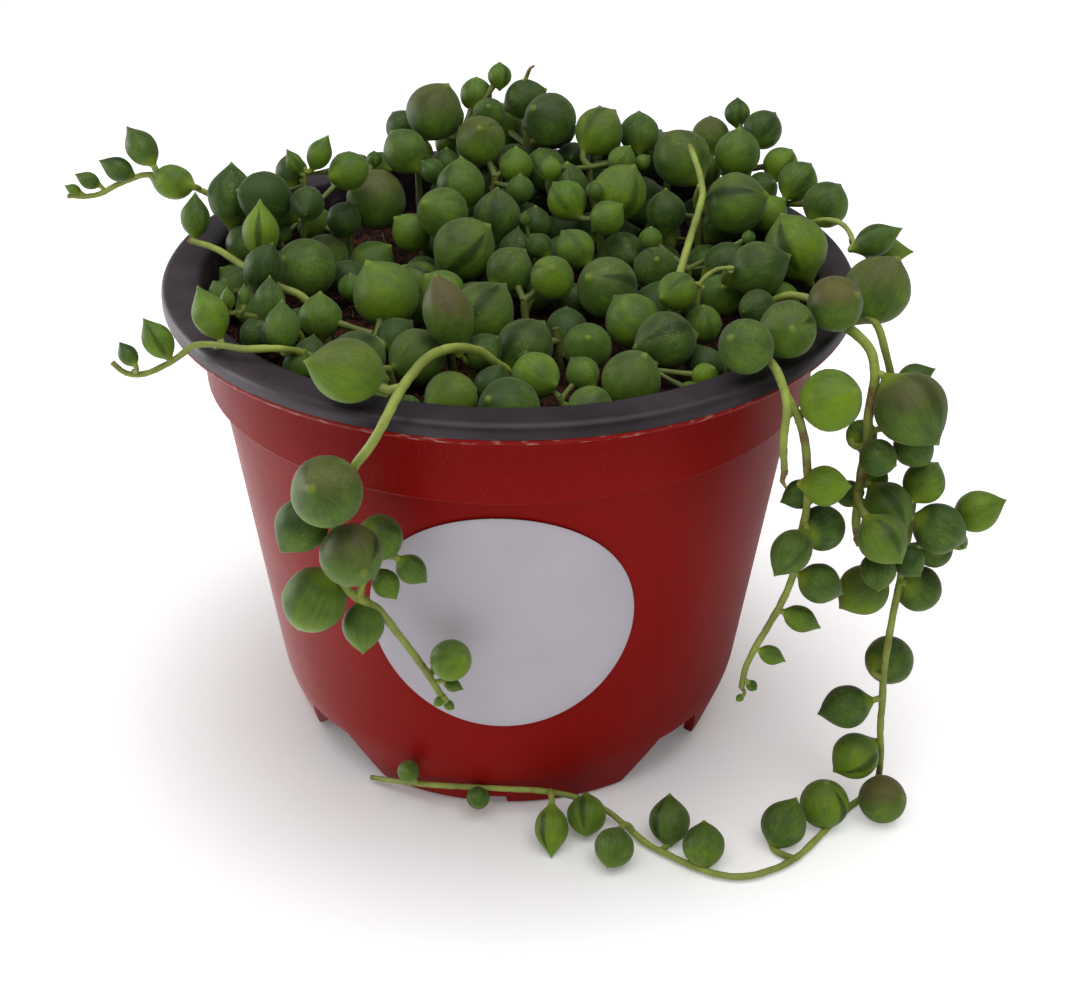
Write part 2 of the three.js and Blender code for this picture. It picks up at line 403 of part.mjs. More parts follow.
// The pot's section as thick lines, [r0, z0, r1, z1, half thickness], for keeping leaves off it.
const potSection = [
  [pot.lipInner + 1.5, pot.height - 1.5, pot.lipRadius - 1.5, pot.height - 1.5, 1.5],
  [pot.collarRadius - 0.5, pot.height - 1.5, pot.collarRadius - 0.8, pot.collarFoot, 0.6],
  [pot.shoulderRadius - 0.5, pot.shoulderHeight, pot.heelRadius - 0.5, pot.heelHeight, 0.6],
  [pot.heelRadius - 0.5, pot.heelHeight, pot.footRadius - 0.5, 0, 0.6],
];

// Balls that stand for a leaf: its body, drawn out where the leaf is long, and its point.
function leafBalls(leaf) {
  const reach = leaf.radius * (leaf.stretch - 1);
  const ball = (distance, radius) => ({ leaf, offset: leaf.tip.clone().multiplyScalar(distance), radius });
  return [ball(reach, leaf.radius), ball(-reach, leaf.radius),
    ball(leaf.radius * leaf.stretch * 1.08, leaf.radius * 0.2)];
}

// Leaves push one another, and stems, the pot and the peat push them, until all have room.
const settling = {
  rounds: 260, push: 0.35, pull: 0.02, restFrom: 200,
  stemAir: 0.15, soilAir: 0.2, groundAir: 0.15,
};

function settle(leaves, stems) {
  const balls = leaves.flatMap(leafBalls);
  const fixed = stems.flatMap(({ name, samples, radius }) => samples.filter((at, i) => i % 2 === 0)
    .map((at) => ({ at, radius: radius + settling.stemAir, name })));
  for (let round = 0; round < settling.rounds; round += 1) {
    for (const leaf of leaves) leaf.move = new THREE.Vector3();
    for (const ball of balls) ball.at = ball.leaf.at.clone().add(ball.offset);
    for (let i = 0; i < balls.length; i += 1) {
      const a = balls[i];
      for (let j = i + 1; j < balls.length; j += 1) {
        const b = balls[j];
        if (a.leaf === b.leaf) continue;
        const away = a.at.clone().sub(b.at);
        const lack = a.radius + b.radius + growth.clearance - away.length();
        if (lack > 0) {
          away.setLength(lack * settling.push);
          a.leaf.move.add(away);
          b.leaf.move.sub(away);
        }
      }
      for (const stem of fixed) {
        if (stem.name === a.leaf.strand) continue;
        const away = a.at.clone().sub(stem.at);
        const lack = a.radius + stem.radius + growth.clearance - away.length();
        if (lack > 0) a.leaf.move.add(away.setLength(lack * settling.push));
      }
      a.leaf.move.add(keepOff(a));
    }
    for (const leaf of leaves) {
      leaf.at.add(leaf.move);
      if (round < settling.restFrom) leaf.at.lerp(leaf.home, settling.pull);
    }
  }
}

// How far a ball has to move to be clear of the pot, the peat and the ground.
function keepOff(ball) {
  const move = new THREE.Vector3();
  const radius = Math.hypot(ball.at.x, ball.at.y);
  for (const [r0, z0, r1, z1, half] of potSection) {
    const along = (radius - r0) * (r1 - r0) + (ball.at.z - z0) * (z1 - z0);
    const share = along / ((r1 - r0) ** 2 + (z1 - z0) ** 2);
    const held = Math.min(1, Math.max(0, share));
    const outward = radius - (r0 + held * (r1 - r0));
    const upward = ball.at.z - (z0 + held * (z1 - z0));
    const distance = Math.hypot(outward, upward);
    const lack = ball.radius + half + growth.clearance - distance;
    if (lack > 0) {
      const scale = (0.5 * lack) / distance;
      move.x += (outward * scale * ball.at.x) / radius;
      move.y += (outward * scale * ball.at.y) / radius;
      move.z += upward * scale;
    }
  }
  const inPot = radius < pot.lipInner && ball.at.z > pot.height / 2;
  const floor = inPot ? soil.top + soil.relief + settling.soilAir : settling.groundAir;
  const lack = floor + ball.radius - ball.at.z;
  if (lack > 0) move.z += 0.5 * lack;
  return move;
}

// ---- Necks between stems and leaves ----
const necks = { sunkAtBase: 0.3, sunkFromSide: 0.4, lean: 0.4, tuftsTried: 8, checks: 14, leafAir: 0.7 };

function nearestOn(stem, at) {
  let best = stem.samples[0];
  for (const sample of stem.samples) {
    if (sample.distanceTo(at) < best.distanceTo(at)) best = sample;
  }
  return best;
}

// A neck that leaves the leaf opposite its tip, for leaves whose stem shows.
function baseNeck(leaf, stem) {
  const base = leaf.tip.clone().multiplyScalar(-leaf.radius * leaf.stretch).add(leaf.at);
  const start = nearestOn(stem, base);
  const end = leaf.tip.clone().multiplyScalar(necks.sunkAtBase * leaf.radius).add(base);
  return new THREE.LineCurve3(start, end);
}

// A neck straight from the stem's nearest point, for leaves in the mound.
function straightNeck(leaf, stem) {
  const start = nearestOn(stem, leaf.at.clone().setZ(leaf.at.z - necks.lean * leaf.radius));
  const end = start.clone().sub(leaf.at).setLength((1 - necks.sunkFromSide) * leaf.radius).add(leaf.at);
  return new THREE.LineCurve3(start, end);
}

// The nearest tuft whose neck to the leaf runs clear of every other tuft's leaves and necks.
function chooseStalk(leaf, tufts, everyLeaf, strandStems) {
  const byDistance = tufts.toSorted((a, b) => nearestOn(a, leaf.at).distanceTo(leaf.at)
    - nearestOn(b, leaf.at).distanceTo(leaf.at));
  for (const tuft of byDistance.slice(0, necks.tuftsTried)) {
    const points = straightNeck(leaf, tuft).getPoints(necks.checks);
    const free = (other) => other === leaf || other.stalk === tuft.name
      || points.every((point) => point.distanceTo(other.at) > other.radius * other.stretch + necks.leafAir);
    const clearOf = (stem) => points.every((point) =>
      nearestOn(stem, point).distanceTo(point) > growth.neckRadius + stem.radius + gap);
    const apart = (places) => points.every((point) =>
      places.every((place) => place.distanceTo(point) > 2 * growth.neckRadius + gap));
    const others = tufts.filter((other) => other !== tuft);
    if (everyLeaf.every(free) && [...others, ...strandStems].every(clearOf)
      && others.every((other) => other.neckPoints.every(apart))) {
      tuft.neckPoints.push(points);
      return tuft;
    }
  }
  throw new Error(`no free stem for the leaf at ${leaf.home.toArray()}`);
}

// ---- Building the plant ----
function leafGeometry(leaf) {
  const { radius } = leaf;
  const long = radius * leaf.stretch;
  const big = radius > growth.bigLeaf;
  const angles = big ? [-0.85, 0, 0.85] : [-0.5, 0.5];
  const sides = big ? 6 : radius > growth.smallLeaf ? 5 : 4;
  const rings = angles.map((angle) => [radius * Math.cos(angle), long * Math.sin(angle)]);
  const geometry = turned([[0, -long], ...rings, [0, long * (1 + growth.tipLength)]], sides);
  const turn = new THREE.Quaternion().setFromUnitVectors(new THREE.Vector3(0, 0, 1), leaf.tip);
  return geometry.applyQuaternion(turn).translate(leaf.at.x, leaf.at.y, leaf.at.z);
}

const stepsOf = (curve) => Math.ceil(curve.getLength() / growth.stemStep);

// One solid of a stem and the leaves on it.
function fuse(stem, leaves, neckOf) {
  const rods = stem.curves.map((curve) => solid(rod(curve, stem.radius, 4, stepsOf(curve))));
  let shape = rods.reduce((whole, piece) => whole.add(piece));
  for (const leaf of leaves) {
    const neck = neckOf(leaf, stem);
    shape = shape.add(solid(rod(neck, growth.neckRadius, 3, 1)));
    shape = shape.add(solid(leafGeometry(leaf)));
  }
  return largest(shape);
}

// A stem with its side shoots. The samples lie on the straight stretches that its rods are made of,
// above the peat.
function makeStem(name, foot, points, radius, branches = []) {
  const shoot = (list) => new THREE.CatmullRomCurve3(list.map(vector), false, 'centripetal');
  const curves = [stemCurve(foot, points), ...branches.map(shoot)];
  const samples = [];
  for (const curve of curves) {
    const steps = stepsOf(curve);
    const knots = curve.getSpacedPoints(steps);
    for (let i = 0; i < steps; i += 1) {
      for (let share = 0; share < 1; share += 0.125) samples.push(knots[i].clone().lerp(knots[i + 1], share));
    }
    samples.push(knots[steps]);
  }
  const inPot = (at) => Math.hypot(at.x, at.y) < pot.lipInner && at.z > pot.height / 2;
  const open = (at) => !inPot(at) || at.z > soil.top + growth.lowestNeck;
  return { name, foot, curves, radius, samples: samples.filter(open), neckPoints: [] };
}

const strandStems = Object.entries(strands).map(([name, strand]) =>
  makeStem(name, strand.foot, strand.stem, strand.radius, strand.branches));
const tufts = stalks.map(([x, y, topX, topY, topZ], i) =>
  makeStem(`tuft_${String(i + 1).padStart(2, '0')}`, [x, y], [[topX, topY, topZ]], growth.stalkRadius));

const strandLeaves = Object.entries(strands).flatMap(([name, strand]) =>
  strand.leaves.map((numbers) => makeLeaf(numbers, name)));
const shown = moundLeaves.map((numbers) => makeLeaf(numbers));
const everyLeaf = [...strandLeaves, ...shown];
settle(everyLeaf, [...strandStems, ...tufts]);

for (const leaf of shown) leaf.stalk = chooseStalk(leaf, tufts, everyLeaf, strandStems).name;

// ---- The object ----
const looks = {
  pot: { color: 0x7d2621, roughness: 0.45, metalness: 0 },
  soil: { color: 0x4a2f22, roughness: 0.95, metalness: 0 },
  label: { color: 0xd9d6de, roughness: 0.6, metalness: 0 },
  plant: { color: 0x4a7338, roughness: 0.5, metalness: 0 },
};

const part = new THREE.Group();
part.add(nodeMesh('pot', potShape(), looks.pot));
part.add(nodeMesh('soil', soilShape([...strandStems, ...tufts].map((stem) => stem.foot)), looks.soil));
part.add(nodeMesh('label', labelShape(), looks.label));
for (const stem of strandStems) {
  const leaves = strandLeaves.filter((leaf) => leaf.strand === stem.name);
  part.add(nodeMesh(stem.name, fuse(stem, leaves, baseNeck), looks.plant));
}
for (const tuft of tufts) {
  const leaves = shown.filter((leaf) => leaf.stalk === tuft.name);
  part.add(nodeMesh(tuft.name, fuse(tuft, leaves, straightNeck), looks.plant));
}

export default part;
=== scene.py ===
# A potted string of pearls: round pointed leaves on thin stems, in peat, in a two-tone nursery pot.
import math
import bmesh
import bpy
import numpy as np
from mathutils import Matrix, Vector, noise


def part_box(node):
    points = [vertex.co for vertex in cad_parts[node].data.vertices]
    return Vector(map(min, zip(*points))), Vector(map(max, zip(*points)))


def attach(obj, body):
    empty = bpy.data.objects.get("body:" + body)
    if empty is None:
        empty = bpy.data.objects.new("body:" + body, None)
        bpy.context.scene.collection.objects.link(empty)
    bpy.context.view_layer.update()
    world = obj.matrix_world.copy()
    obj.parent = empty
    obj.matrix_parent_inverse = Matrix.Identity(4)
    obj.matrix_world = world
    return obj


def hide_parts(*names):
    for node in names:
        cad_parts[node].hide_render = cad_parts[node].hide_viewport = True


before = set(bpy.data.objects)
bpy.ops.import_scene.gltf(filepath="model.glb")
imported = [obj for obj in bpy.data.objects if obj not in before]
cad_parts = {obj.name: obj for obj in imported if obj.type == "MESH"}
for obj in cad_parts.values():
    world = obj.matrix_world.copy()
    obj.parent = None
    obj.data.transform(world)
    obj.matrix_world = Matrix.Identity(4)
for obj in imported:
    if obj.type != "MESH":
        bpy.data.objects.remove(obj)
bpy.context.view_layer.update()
mm = 0.001
print("frame loaded:", len(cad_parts), "nodes")

state = {"tree": None, "random": 20251}  # the node tree in hand, and the random sequence's last number


class Signal:  # one output of a node; arithmetic on it adds Math nodes
    def __init__(self, socket):
        self.socket = socket


def setInputs(made, inputs):
    for key, value in inputs.items():
        if isinstance(value, Signal):
            state["tree"].links.new(value.socket, made.inputs[key])
        else:
            made.inputs[key].default_value = value


def addNode(kind, inputs=None, **settings):
    made = state["tree"].nodes.new(kind)
    for name, value in settings.items():
        setattr(made, name, value)
    setInputs(made, inputs or {})
    return made


def node(kind, inputs=None, out=0, **settings):  # adds a node and gives one of its outputs
    return Signal(addNode(kind, inputs, **settings).outputs[out])


def calc(operation, *values):
    return node("ShaderNodeMath", dict(enumerate(values)), operation=operation)


for sign, operation in {"add": "ADD", "sub": "SUBTRACT", "mul": "MULTIPLY", "truediv": "DIVIDE"}.items():
    setattr(Signal, f"__{sign}__", lambda self, other, use=operation: calc(use, self, other))
    setattr(Signal, f"__r{sign}__", lambda self, other, use=operation: calc(use, other, self))


def vecCalc(operation, *values):  # one Vector Math node; SCALE takes its factor as the second value
    slots = (0, 3) if operation == "SCALE" else (0, 1)
    out = "Value" if operation == "DISTANCE" else "Vector"
    return node("ShaderNodeVectorMath", dict(zip(slots, values)), out, operation=operation)


def split(vector):
    return [Signal(out) for out in addNode("ShaderNodeSeparateXYZ", {0: vector}).outputs]


def remap(value, low, high, newLow=0.0, newHigh=1.0, curve="LINEAR"):
    inputs = dict(enumerate((value, low, high, newLow, newHigh)))
    return node("ShaderNodeMapRange", inputs, interpolation_type=curve)


def ease(*values):  # a remap with soft ends
    return remap(*values, curve="SMOOTHSTEP")


def mix(share, first, second):  # of colours
    return node("ShaderNodeMix", {0: share, 6: first, 7: second}, 2, data_type="RGBA")


def cloud(where, scale, detail, roughness=0.5):
    inputs = {"Vector": where, "Scale": scale, "Detail": detail, "Roughness": roughness}
    return node("ShaderNodeTexNoise", inputs)


def rgb(*screen):  # screen colour, 0 to 255, as the linear colour that Blender mixes
    shares = (value / 255 for value in screen)
    linear = (share / 12.92 if share <= 0.04045 else ((share + 0.055) / 1.055) ** 2.4 for share in shares)
    return (*linear, 1.0)


def startTree(name, kind, inputs, outputs):  # both are {label: socket type}
    tree = state["tree"] = bpy.data.node_groups.new(name, kind)
    for way, sockets in (("INPUT", inputs), ("OUTPUT", outputs)):
        for label, form in sockets.items():
            tree.interface.new_socket(label, in_out=way, socket_type="NodeSocket" + form)
    start, end = addNode("NodeGroupInput"), addNode("NodeGroupOutput")
    return {out.name: Signal(out) for out in start.outputs}, end


def geometryTree(name, values):  # takes one input for each of the values
    forms = {label: "Int" if isinstance(value, int) else "Float" for label, value in values.items()}
    inputs = {"Geometry": "Geometry", **forms, "Material": "Material"}
    return startTree(name, "GeometryNodeTree", inputs, {"Geometry": "Geometry"})


def finishTree(shape, start, end):
    for kind in ("GeometryNodeRealizeInstances", "GeometryNodeSetShadeSmooth"):
        shape = node(kind, {0: shape})
    painted = node("GeometryNodeSetMaterial", {"Geometry": shape, "Material": start["Material"]})
    setInputs(end, {0: painted})
    return state["tree"]


def named(attribute, kind="FLOAT_VECTOR"):
    return node("GeometryNodeInputNamedAttribute", {"Name": attribute}, "Attribute", data_type=kind)


def store(shape, attribute, value):
    inputs = {"Geometry": shape, "Name": attribute, "Value": value}
    return node("GeometryNodeStoreNamedAttribute", inputs, data_type="FLOAT_VECTOR", domain="POINT")


def grow(piece, tree, values):  # runs a geometry tree on a piece and keeps the result as its plain mesh
    made = piece.modifiers.new("grow", "NODES")
    made.node_group = tree
    for item in tree.interface.items_tree:
        if item.in_out == "INPUT" and item.name in values:
            made[item.identifier] = values[item.name]
    keepResult(piece)


def keepResult(piece):  # applies every modifier
    bpy.context.view_layer.update()
    shown = piece.evaluated_get(bpy.context.evaluated_depsgraph_get())
    mesh = bpy.data.meshes.new_from_object(shown)
    piece.modifiers.clear()
    piece.data = mesh
    mesh.name = piece.name


def linkObject(name, data):
    made = bpy.data.objects.new(name, data)
    bpy.context.scene.collection.objects.link(made)
    return made


def addPiece(name, points, edges=(), faces=(), **attributes):  # points in millimetres
    mesh = bpy.data.meshes.new(name)
    mesh.from_pydata([tuple(float(value) * mm for value in point) for point in points], edges, faces)
    for label, values in attributes.items():
        values = np.asarray(values, np.float32)
        kind, key = ("FLOAT", "value") if values.ndim == 1 else ("FLOAT_VECTOR", "vector")
        mesh.attributes.new(label, kind, "POINT").data.foreach_set(key, values.ravel())
    mesh.validate()
    return linkObject(name, mesh)


def smoothFaces(piece):
    piece.data.polygons.foreach_set("use_smooth", [True] * len(piece.data.polygons))


def place(piece, nodes=()):
    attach(piece, "root")
    if nodes:
        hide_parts(*nodes)
    piece.data.update()
    print(piece.name, "done:", sum(len(face.vertices) - 2 for face in piece.data.polygons), "triangles")


def draw(low=0.0, high=1.0):  # the next number of one fixed sequence
    state["random"] = (state["random"] * 1664525 + 1013904223) % 2**32
    return low + (high - low) * state["random"] / 2**32


def unit(vector):
    return vector / max(np.linalg.norm(vector), 1e-9)


# Where everything grows, in millimetres. A leaf's row is x, y, z, its width, where its tip points, its
# stretch along the tip, and its look, with the side that the dark stripe is on.
strands = {
    "strand_left_high": {
        "radius": 0.5, "foot": [-34, 14],
        "stem": [[-35.5, 13.5, 71], [-38.5, 13, 74.5], [-43, 12.5, 77.6], [-47.2, 12, 80], [-50.5, 12, 81],
            [-54, 12, 82], [-58.3, 12, 80.6], [-62, 12, 78.7], [-66.3, 12, 78.5]],
        "leaves": [[-41.4, 10.4, 78.8, 7.2, "UUB", 1.15], [-50.3, 11, 81.4, 5.2, "LLB", 1.35],
            [-54.8, 13, 85.6, 4.6, "ULB", 1.4], [-58.2, 12, 82.9, 3.6, "LLU", 1.35],
            [-63, 12, 80.9, 2.5, "ULL", 1.4], [-65.2, 12, 79.6, 1.7, "ULL", 1.4]],
    },
    "strand_left_cut": {
        "radius": 0.6, "foot": [-26, -10],
        "stem": [[-27, -9.8, 69.5], [-29.5, -9.6, 72.4], [-32.6, -9, 73.5], [-34.9, -8, 74.6],
            [-38.2, -6, 75.5], [-41.5, -4, 76.8], [-45.8, -2, 77.4]],
        "leaves": [[-45.3, 0.8, 79.8, 4.2, "UUB", 1.35], [-35.1, -5, 80, 5.2, "UUUB", 1.4, "l-U"]],
    },
    "strand_left_low": {
        "radius": 0.5, "foot": [-24, -24],
        "stem": [[-25, -25.5, 69.5], [-27, -30, 73.4], [-30, -32.6, 75.2], [-34, -32.4, 75],
            [-38, -31.2, 75], [-40.8, -30.4, 74.4], [-43.6, -30, 72.2], [-46.4, -30, 70.6],
            [-48.4, -30, 69.9], [-50.4, -30, 70.2], [-51.9, -30, 71.7]],
        "leaves": [[-49.7, -30, 72.8, 2.5, "ULB", 1.4], [-45.6, -30, 75, 4, "UUL", 1.4],
            [-38.8, -27.4, 77.6, 4.8, "UUBL", 1.35], [-29.6, -28.4, 76.6, 4.8, "UUB", 1.2],
            [-27.5, -29.6, 71.3, 4, "UUR", 1.1]],
    },
    "strand_left_buds": {
        "radius": 0.45, "foot": [-27.5, -18.5],
        "stem": [[-28, -19, 69.5], [-29.4, -21, 73.4], [-32, -23, 75], [-34.2, -23.6, 75.6],
            [-36, -24, 76.4]],
        "leaves": [[-37, -24.2, 78.2, 2, "UU", 1.5], [-34.6, -23.8, 78.6, 1.7, "UUB", 1.6],
            [-31.7, -24.6, 77.8, 4.3, "UUB", 1.3]],
    },
    "strand_left_upright": {
        "radius": 0.45, "foot": [-31.5, 13.5],
        "stem": [[-31.5, 13, 69], [-31.2, 11.5, 74], [-30.6, 10, 79], [-30.2, 9, 84.4]],
        "leaves": [[-28.4, 9, 86.4, 3.6, "UUR", 1.4], [-31.2, 9, 85.4, 2.4, "UUL", 1.5]],
    },
    "strand_front": {
        "radius": 0.65, "foot": [0.4, -26.5],
        "stem": [[0.2, -27.4, 69.4], [-1.4, -29.3, 71.8], [-3.6, -31.2, 74.4], [-6.5, -34, 76.2],
            [-9.4, -39, 77.4], [-11.6, -44.4, 77.2], [-13, -49, 76.6], [-14.4, -51.8, 74.6],
            [-15.9, -52.4, 72], [-18.1, -52, 68.6], [-20.3, -51.4, 62.5], [-21.4, -50.6, 55.5],
            [-20.3, -49.6, 49.4], [-18.7, -48.6, 47], [-16.5, -47.8, 45], [-15, -47.2, 42.3],
            [-13.2, -46.6, 38.8], [-11.3, -45.6, 34.8], [-9.8, -44.8, 31.3], [-8.8, -44.2, 28.7],
            [-8, -43.8, 27.2]],
        "leaves": [[-21.4, -54.4, 66.5, 8.9, "FFFUUL", 1, "b"], [-25.5, -49.4, 58.6, 6.8, "LDF", 1.05],
            [-18.6, -52.7, 56.6, 8, "FFR", 1, "b-UBR"], [-16.2, -47.4, 55.4, 6, "RDB", 1.05],
            [-12.4, -47.4, 50.4, 3.8, "RD", 1.15], [-14.8, -47.2, 48.9, 3.6, "RDF", 1.15],
            [-24.4, -49.2, 47.1, 8.4, "DDL", 1.05], [-18.5, -48.6, 42.9, 5.6, "DDF", 1.1],
            [-7.1, -45.2, 35, 5.7, "FRU", 1], [-7, -44.6, 30.4, 1.9, "RRD", 1.4],
            [-8.9, -44.6, 27.6, 1.4, "DL", 1.2], [-7.6, -43.8, 26.4, 1.4, "DR", 1.2]],
    },
    "strand_brown_leaf": {
        "radius": 0.5, "foot": [-4.6, -24],
        "stem": [[-4.8, -25, 69], [-5.4, -27.2, 71], [-6.4, -28, 72.6]],
        "leaves": [[-8.2, -26, 76.8, 6.6, "UUULB", 1.5, "o"]],
    },
    "strand_right_bare": {
        "radius": 0.6, "foot": [22.6, -9.5],
        "stem": [[22.9, -11.6, 70], [23.2, -11.8, 74], [24.5, -8.4, 77.4], [25.8, -3.6, 79.4],
            [27.3, 2, 81.4], [27.9, 5, 82.6], [27.6, 8, 84.4], [26.8, 10.6, 86.2], [26.2, 11.8, 87.4]],
        "leaves": [[33.2, 7.6, 80.1, 8.9, "RRFU", 1, "s-FU"]],
    },
    "strand_right_side": {
        "radius": 0.45, "foot": [26.4, -12.6],
        "stem": [[26.4, -13, 70], [26.6, -13, 76], [28.6, -12.4, 78], [31.2, -11.6, 78]],
        "leaves": [[35.6, -10.4, 75.6, 7.9, "RRU", 1], [23.2, -16, 76.4, 5.4, "LF", 1.05]],
    },
    "strand_right_top": {
        "radius": 0.45, "foot": [38, 2],
        "stem": [[38.8, 2.8, 70], [41.6, 3.6, 76], [44, 1.6, 79.6], [46.4, -3, 81.6], [47.4, -7.4, 82],
            [47.8, -11, 81.4]],
        "leaves": [[50.4, -12.6, 82.6, 4.4, "RRU", 1.4], [52.4, -9.4, 79.8, 4.2, "RR", 1.5],
            [41, -2.6, 77.4, 9, "LUUB", 1, "h-FUL"]],
    },
    "strand_cluster": {
        "radius": 0.7, "foot": [36.5, -15],
        "stem": [[37, -16, 70], [39.2, -18.8, 74.8], [43.6, -23.2, 75.4], [46, -26.4, 75.4],
            [48.2, -28.6, 73.6], [48.8, -30, 70.6], [48.3, -31, 66], [48.4, -31.6, 61.5], [48.1, -31.6, 57],
            [48, -31.6, 52], [48.4, -31.6, 47.5], [50.2, -31.4, 44.6], [53, -30.6, 43.8], [56.6, -29.6, 44],
            [60.2, -28.8, 44.4], [62.9, -28.4, 45.4]],
        "leaves": [[53.1, -33.2, 67.4, 9.7, "RFD", 1, "b"], [54.6, -27.4, 68.8, 3.8, "RRU", 1.25],
            [48.4, -27.4, 60.4, 4.3, "BR", 1], [49.6, -35, 61.6, 5, "FR", 1],
            [55, -30.4, 59.6, 5.4, "RD", 1.1], [51, -28.6, 53.8, 3.6, "RB", 1],
            [56, -28, 53, 5.8, "RUB", 1], [52.2, -33.6, 52.9, 6.8, "RFD", 1],
            [59.2, -31, 49.4, 7.1, "RRD", 1.05], [65.1, -28, 48.4, 5.8, "RRU", 1.15],
            [63.4, -29, 44.8, 2.5, "RD", 1.1], [60.6, -26.4, 41, 5.1, "DB", 1],
            [50.6, -38.6, 51.8, 6.7, "FDR", 1], [55.2, -34.4, 45, 4.4, "FDR", 1],
            [51.4, -36.4, 44.6, 5, "FD", 1], [50.6, -29.8, 36.8, 7.2, "DL", 1],
            [47.4, -28, 51.5, 3.8, "LDB", 1]],
    },
    "strand_long": {
        "radius": 0.55, "foot": [33.5, -9.5],
        "stem": [[34.4, -10.6, 70], [38.6, -13.6, 74.8], [43.6, -17.4, 75.4], [47.6, -20.4, 75.8],
            [49.8, -22.2, 74.6], [51.2, -23.4, 71], [52.6, -24.2, 66.6], [55.6, -25.2, 60],
            [56.8, -25.8, 53], [56.8, -26.2, 46], [56, -28.4, 38.7], [55.2, -29.8, 32], [54.9, -30, 23],
            [55.2, -30, 17.7], [55.5, -30, 12], [56.2, -29.6, 6.2], [56, -29.8, 2.4], [54.6, -31, 1],
            [51.5, -33.9, 0.9], [47.9, -38.3, 0.9], [44.4, -42.8, 0.9], [41.9, -45.6, 0.9],
            [38, -48.2, 0.9], [34.3, -49.5, 0.9], [30.8, -49.2, 0.9], [28, -47.9, 0.9], [23.9, -45.2, 0.9],
            [20.5, -42.4, 0.9], [17.7, -39, 1.2], [14.6, -36.6, 2.2], [11, -35.9, 3.6], [6, -35.6, 4.6],
            [-0.8, -35.6, 5.1], [-6.8, -34.9, 4.8], [-13, -32.6, 3.4], [-17.7, -30, 1.9],
            [-20.5, -28.5, 1.2]],
        "leaves": [[50.2, -18, 77.9, 9.2, "UUR", 1, "b-UBL"], [59.1, -27.3, 36, 6.6, "RDB", 1],
            [56.4, -26, 22.1, 7.2, "BR", 1], [50, -30.2, 16.6, 6.4, "LLLD", 1.1],
            [52, -31.2, 8.2, 6.9, "LLFD", 1, "h-FUD"], [55.8, -35.5, 3.7, 7.1, "RFU", 1, "o"],
            [47, -36.8, 3.8, 7.2, "U", 1, "h-FR"], [40.6, -41.2, 3.5, 6.6, "UUBR", 1.05, "m"],
            [28.6, -45.8, 3.4, 6.1, "UUB", 1, "m"], [24, -40.6, 3.4, 6, "UUB", 1.1, "s-FL"],
            [15.8, -46.1, 3.1, 5.7, "FFFLD", 1, "m"], [11.4, -39.4, 3.2, 5.8, "FFD", 1, "h"],
            [7.4, -42, 3, 4.9, "FD", 1.35, "l-UFL"], [-4, -36.4, 3.9, 3.4, "FF", 1],
            [-14.2, -34.9, 7.8, 3.2, "UF", 1]],
    },
    "strand_right_rim": {
        "radius": 0.6, "foot": [34.4, -18.4],
        "stem": [[35.2, -19.6, 71], [36.6, -22.8, 75.2], [38.4, -26, 77.2]],
        "leaves": [[36.6, -30.6, 76.8, 7.6, "FFU", 1, "s-FUR"], [41.7, -27.4, 78, 7.4, "RFU", 1, "o-UBR"]],
    },
    "strand_right_low": {
        "radius": 0.6, "foot": [29.6, -23.6],
        "stem": [[30.2, -25, 70], [31.4, -29.4, 74.6], [33.2, -34, 75.6], [34.6, -37.6, 75.2],
            [35.8, -39.6, 72.8], [37.2, -39.6, 70.4], [38.6, -39, 66.6], [39.5, -38.4, 62], [40, -38, 58],
            [40, -38, 54], [39.4, -38, 49.5], [39.1, -38, 44.6], [38, -38, 40.4], [36.3, -38, 36],
            [34.9, -38, 32.7], [33.6, -38, 28.6], [33.3, -38, 25.6]],
        "branches": [[[35.6, -39.6, 73.4], [35.8, -41.4, 71.6], [35.6, -42, 68], [35.9, -41.6, 64.8],
            [36.3, -41, 62]]],
        "leaves": [[31.1, -35.6, 77.7, 7.2, "LFU", 1], [41.5, -40, 72.2, 8, "RFU", 1, "l-UB"],
            [41.9, -39.6, 59.4, 5.4, "RR", 1.05, "l-UB"], [39.4, -35.6, 55.8, 4, "LLD", 1.15],
            [42, -37.4, 51.2, 6.2, "RB", 1], [38.6, -40.8, 50.4, 5.4, "DFL", 1.2],
            [42.8, -38.2, 43.3, 5.5, "RRD", 1.1], [40.7, -38, 37.3, 3.6, "RRD", 1.45],
            [37.1, -38, 31.2, 2.7, "RRD", 1.4], [34.7, -38.2, 26.1, 1.6, "RD", 1.1],
            [33.2, -38, 23.8, 1.1, "DL", 1.1]],
    },
}

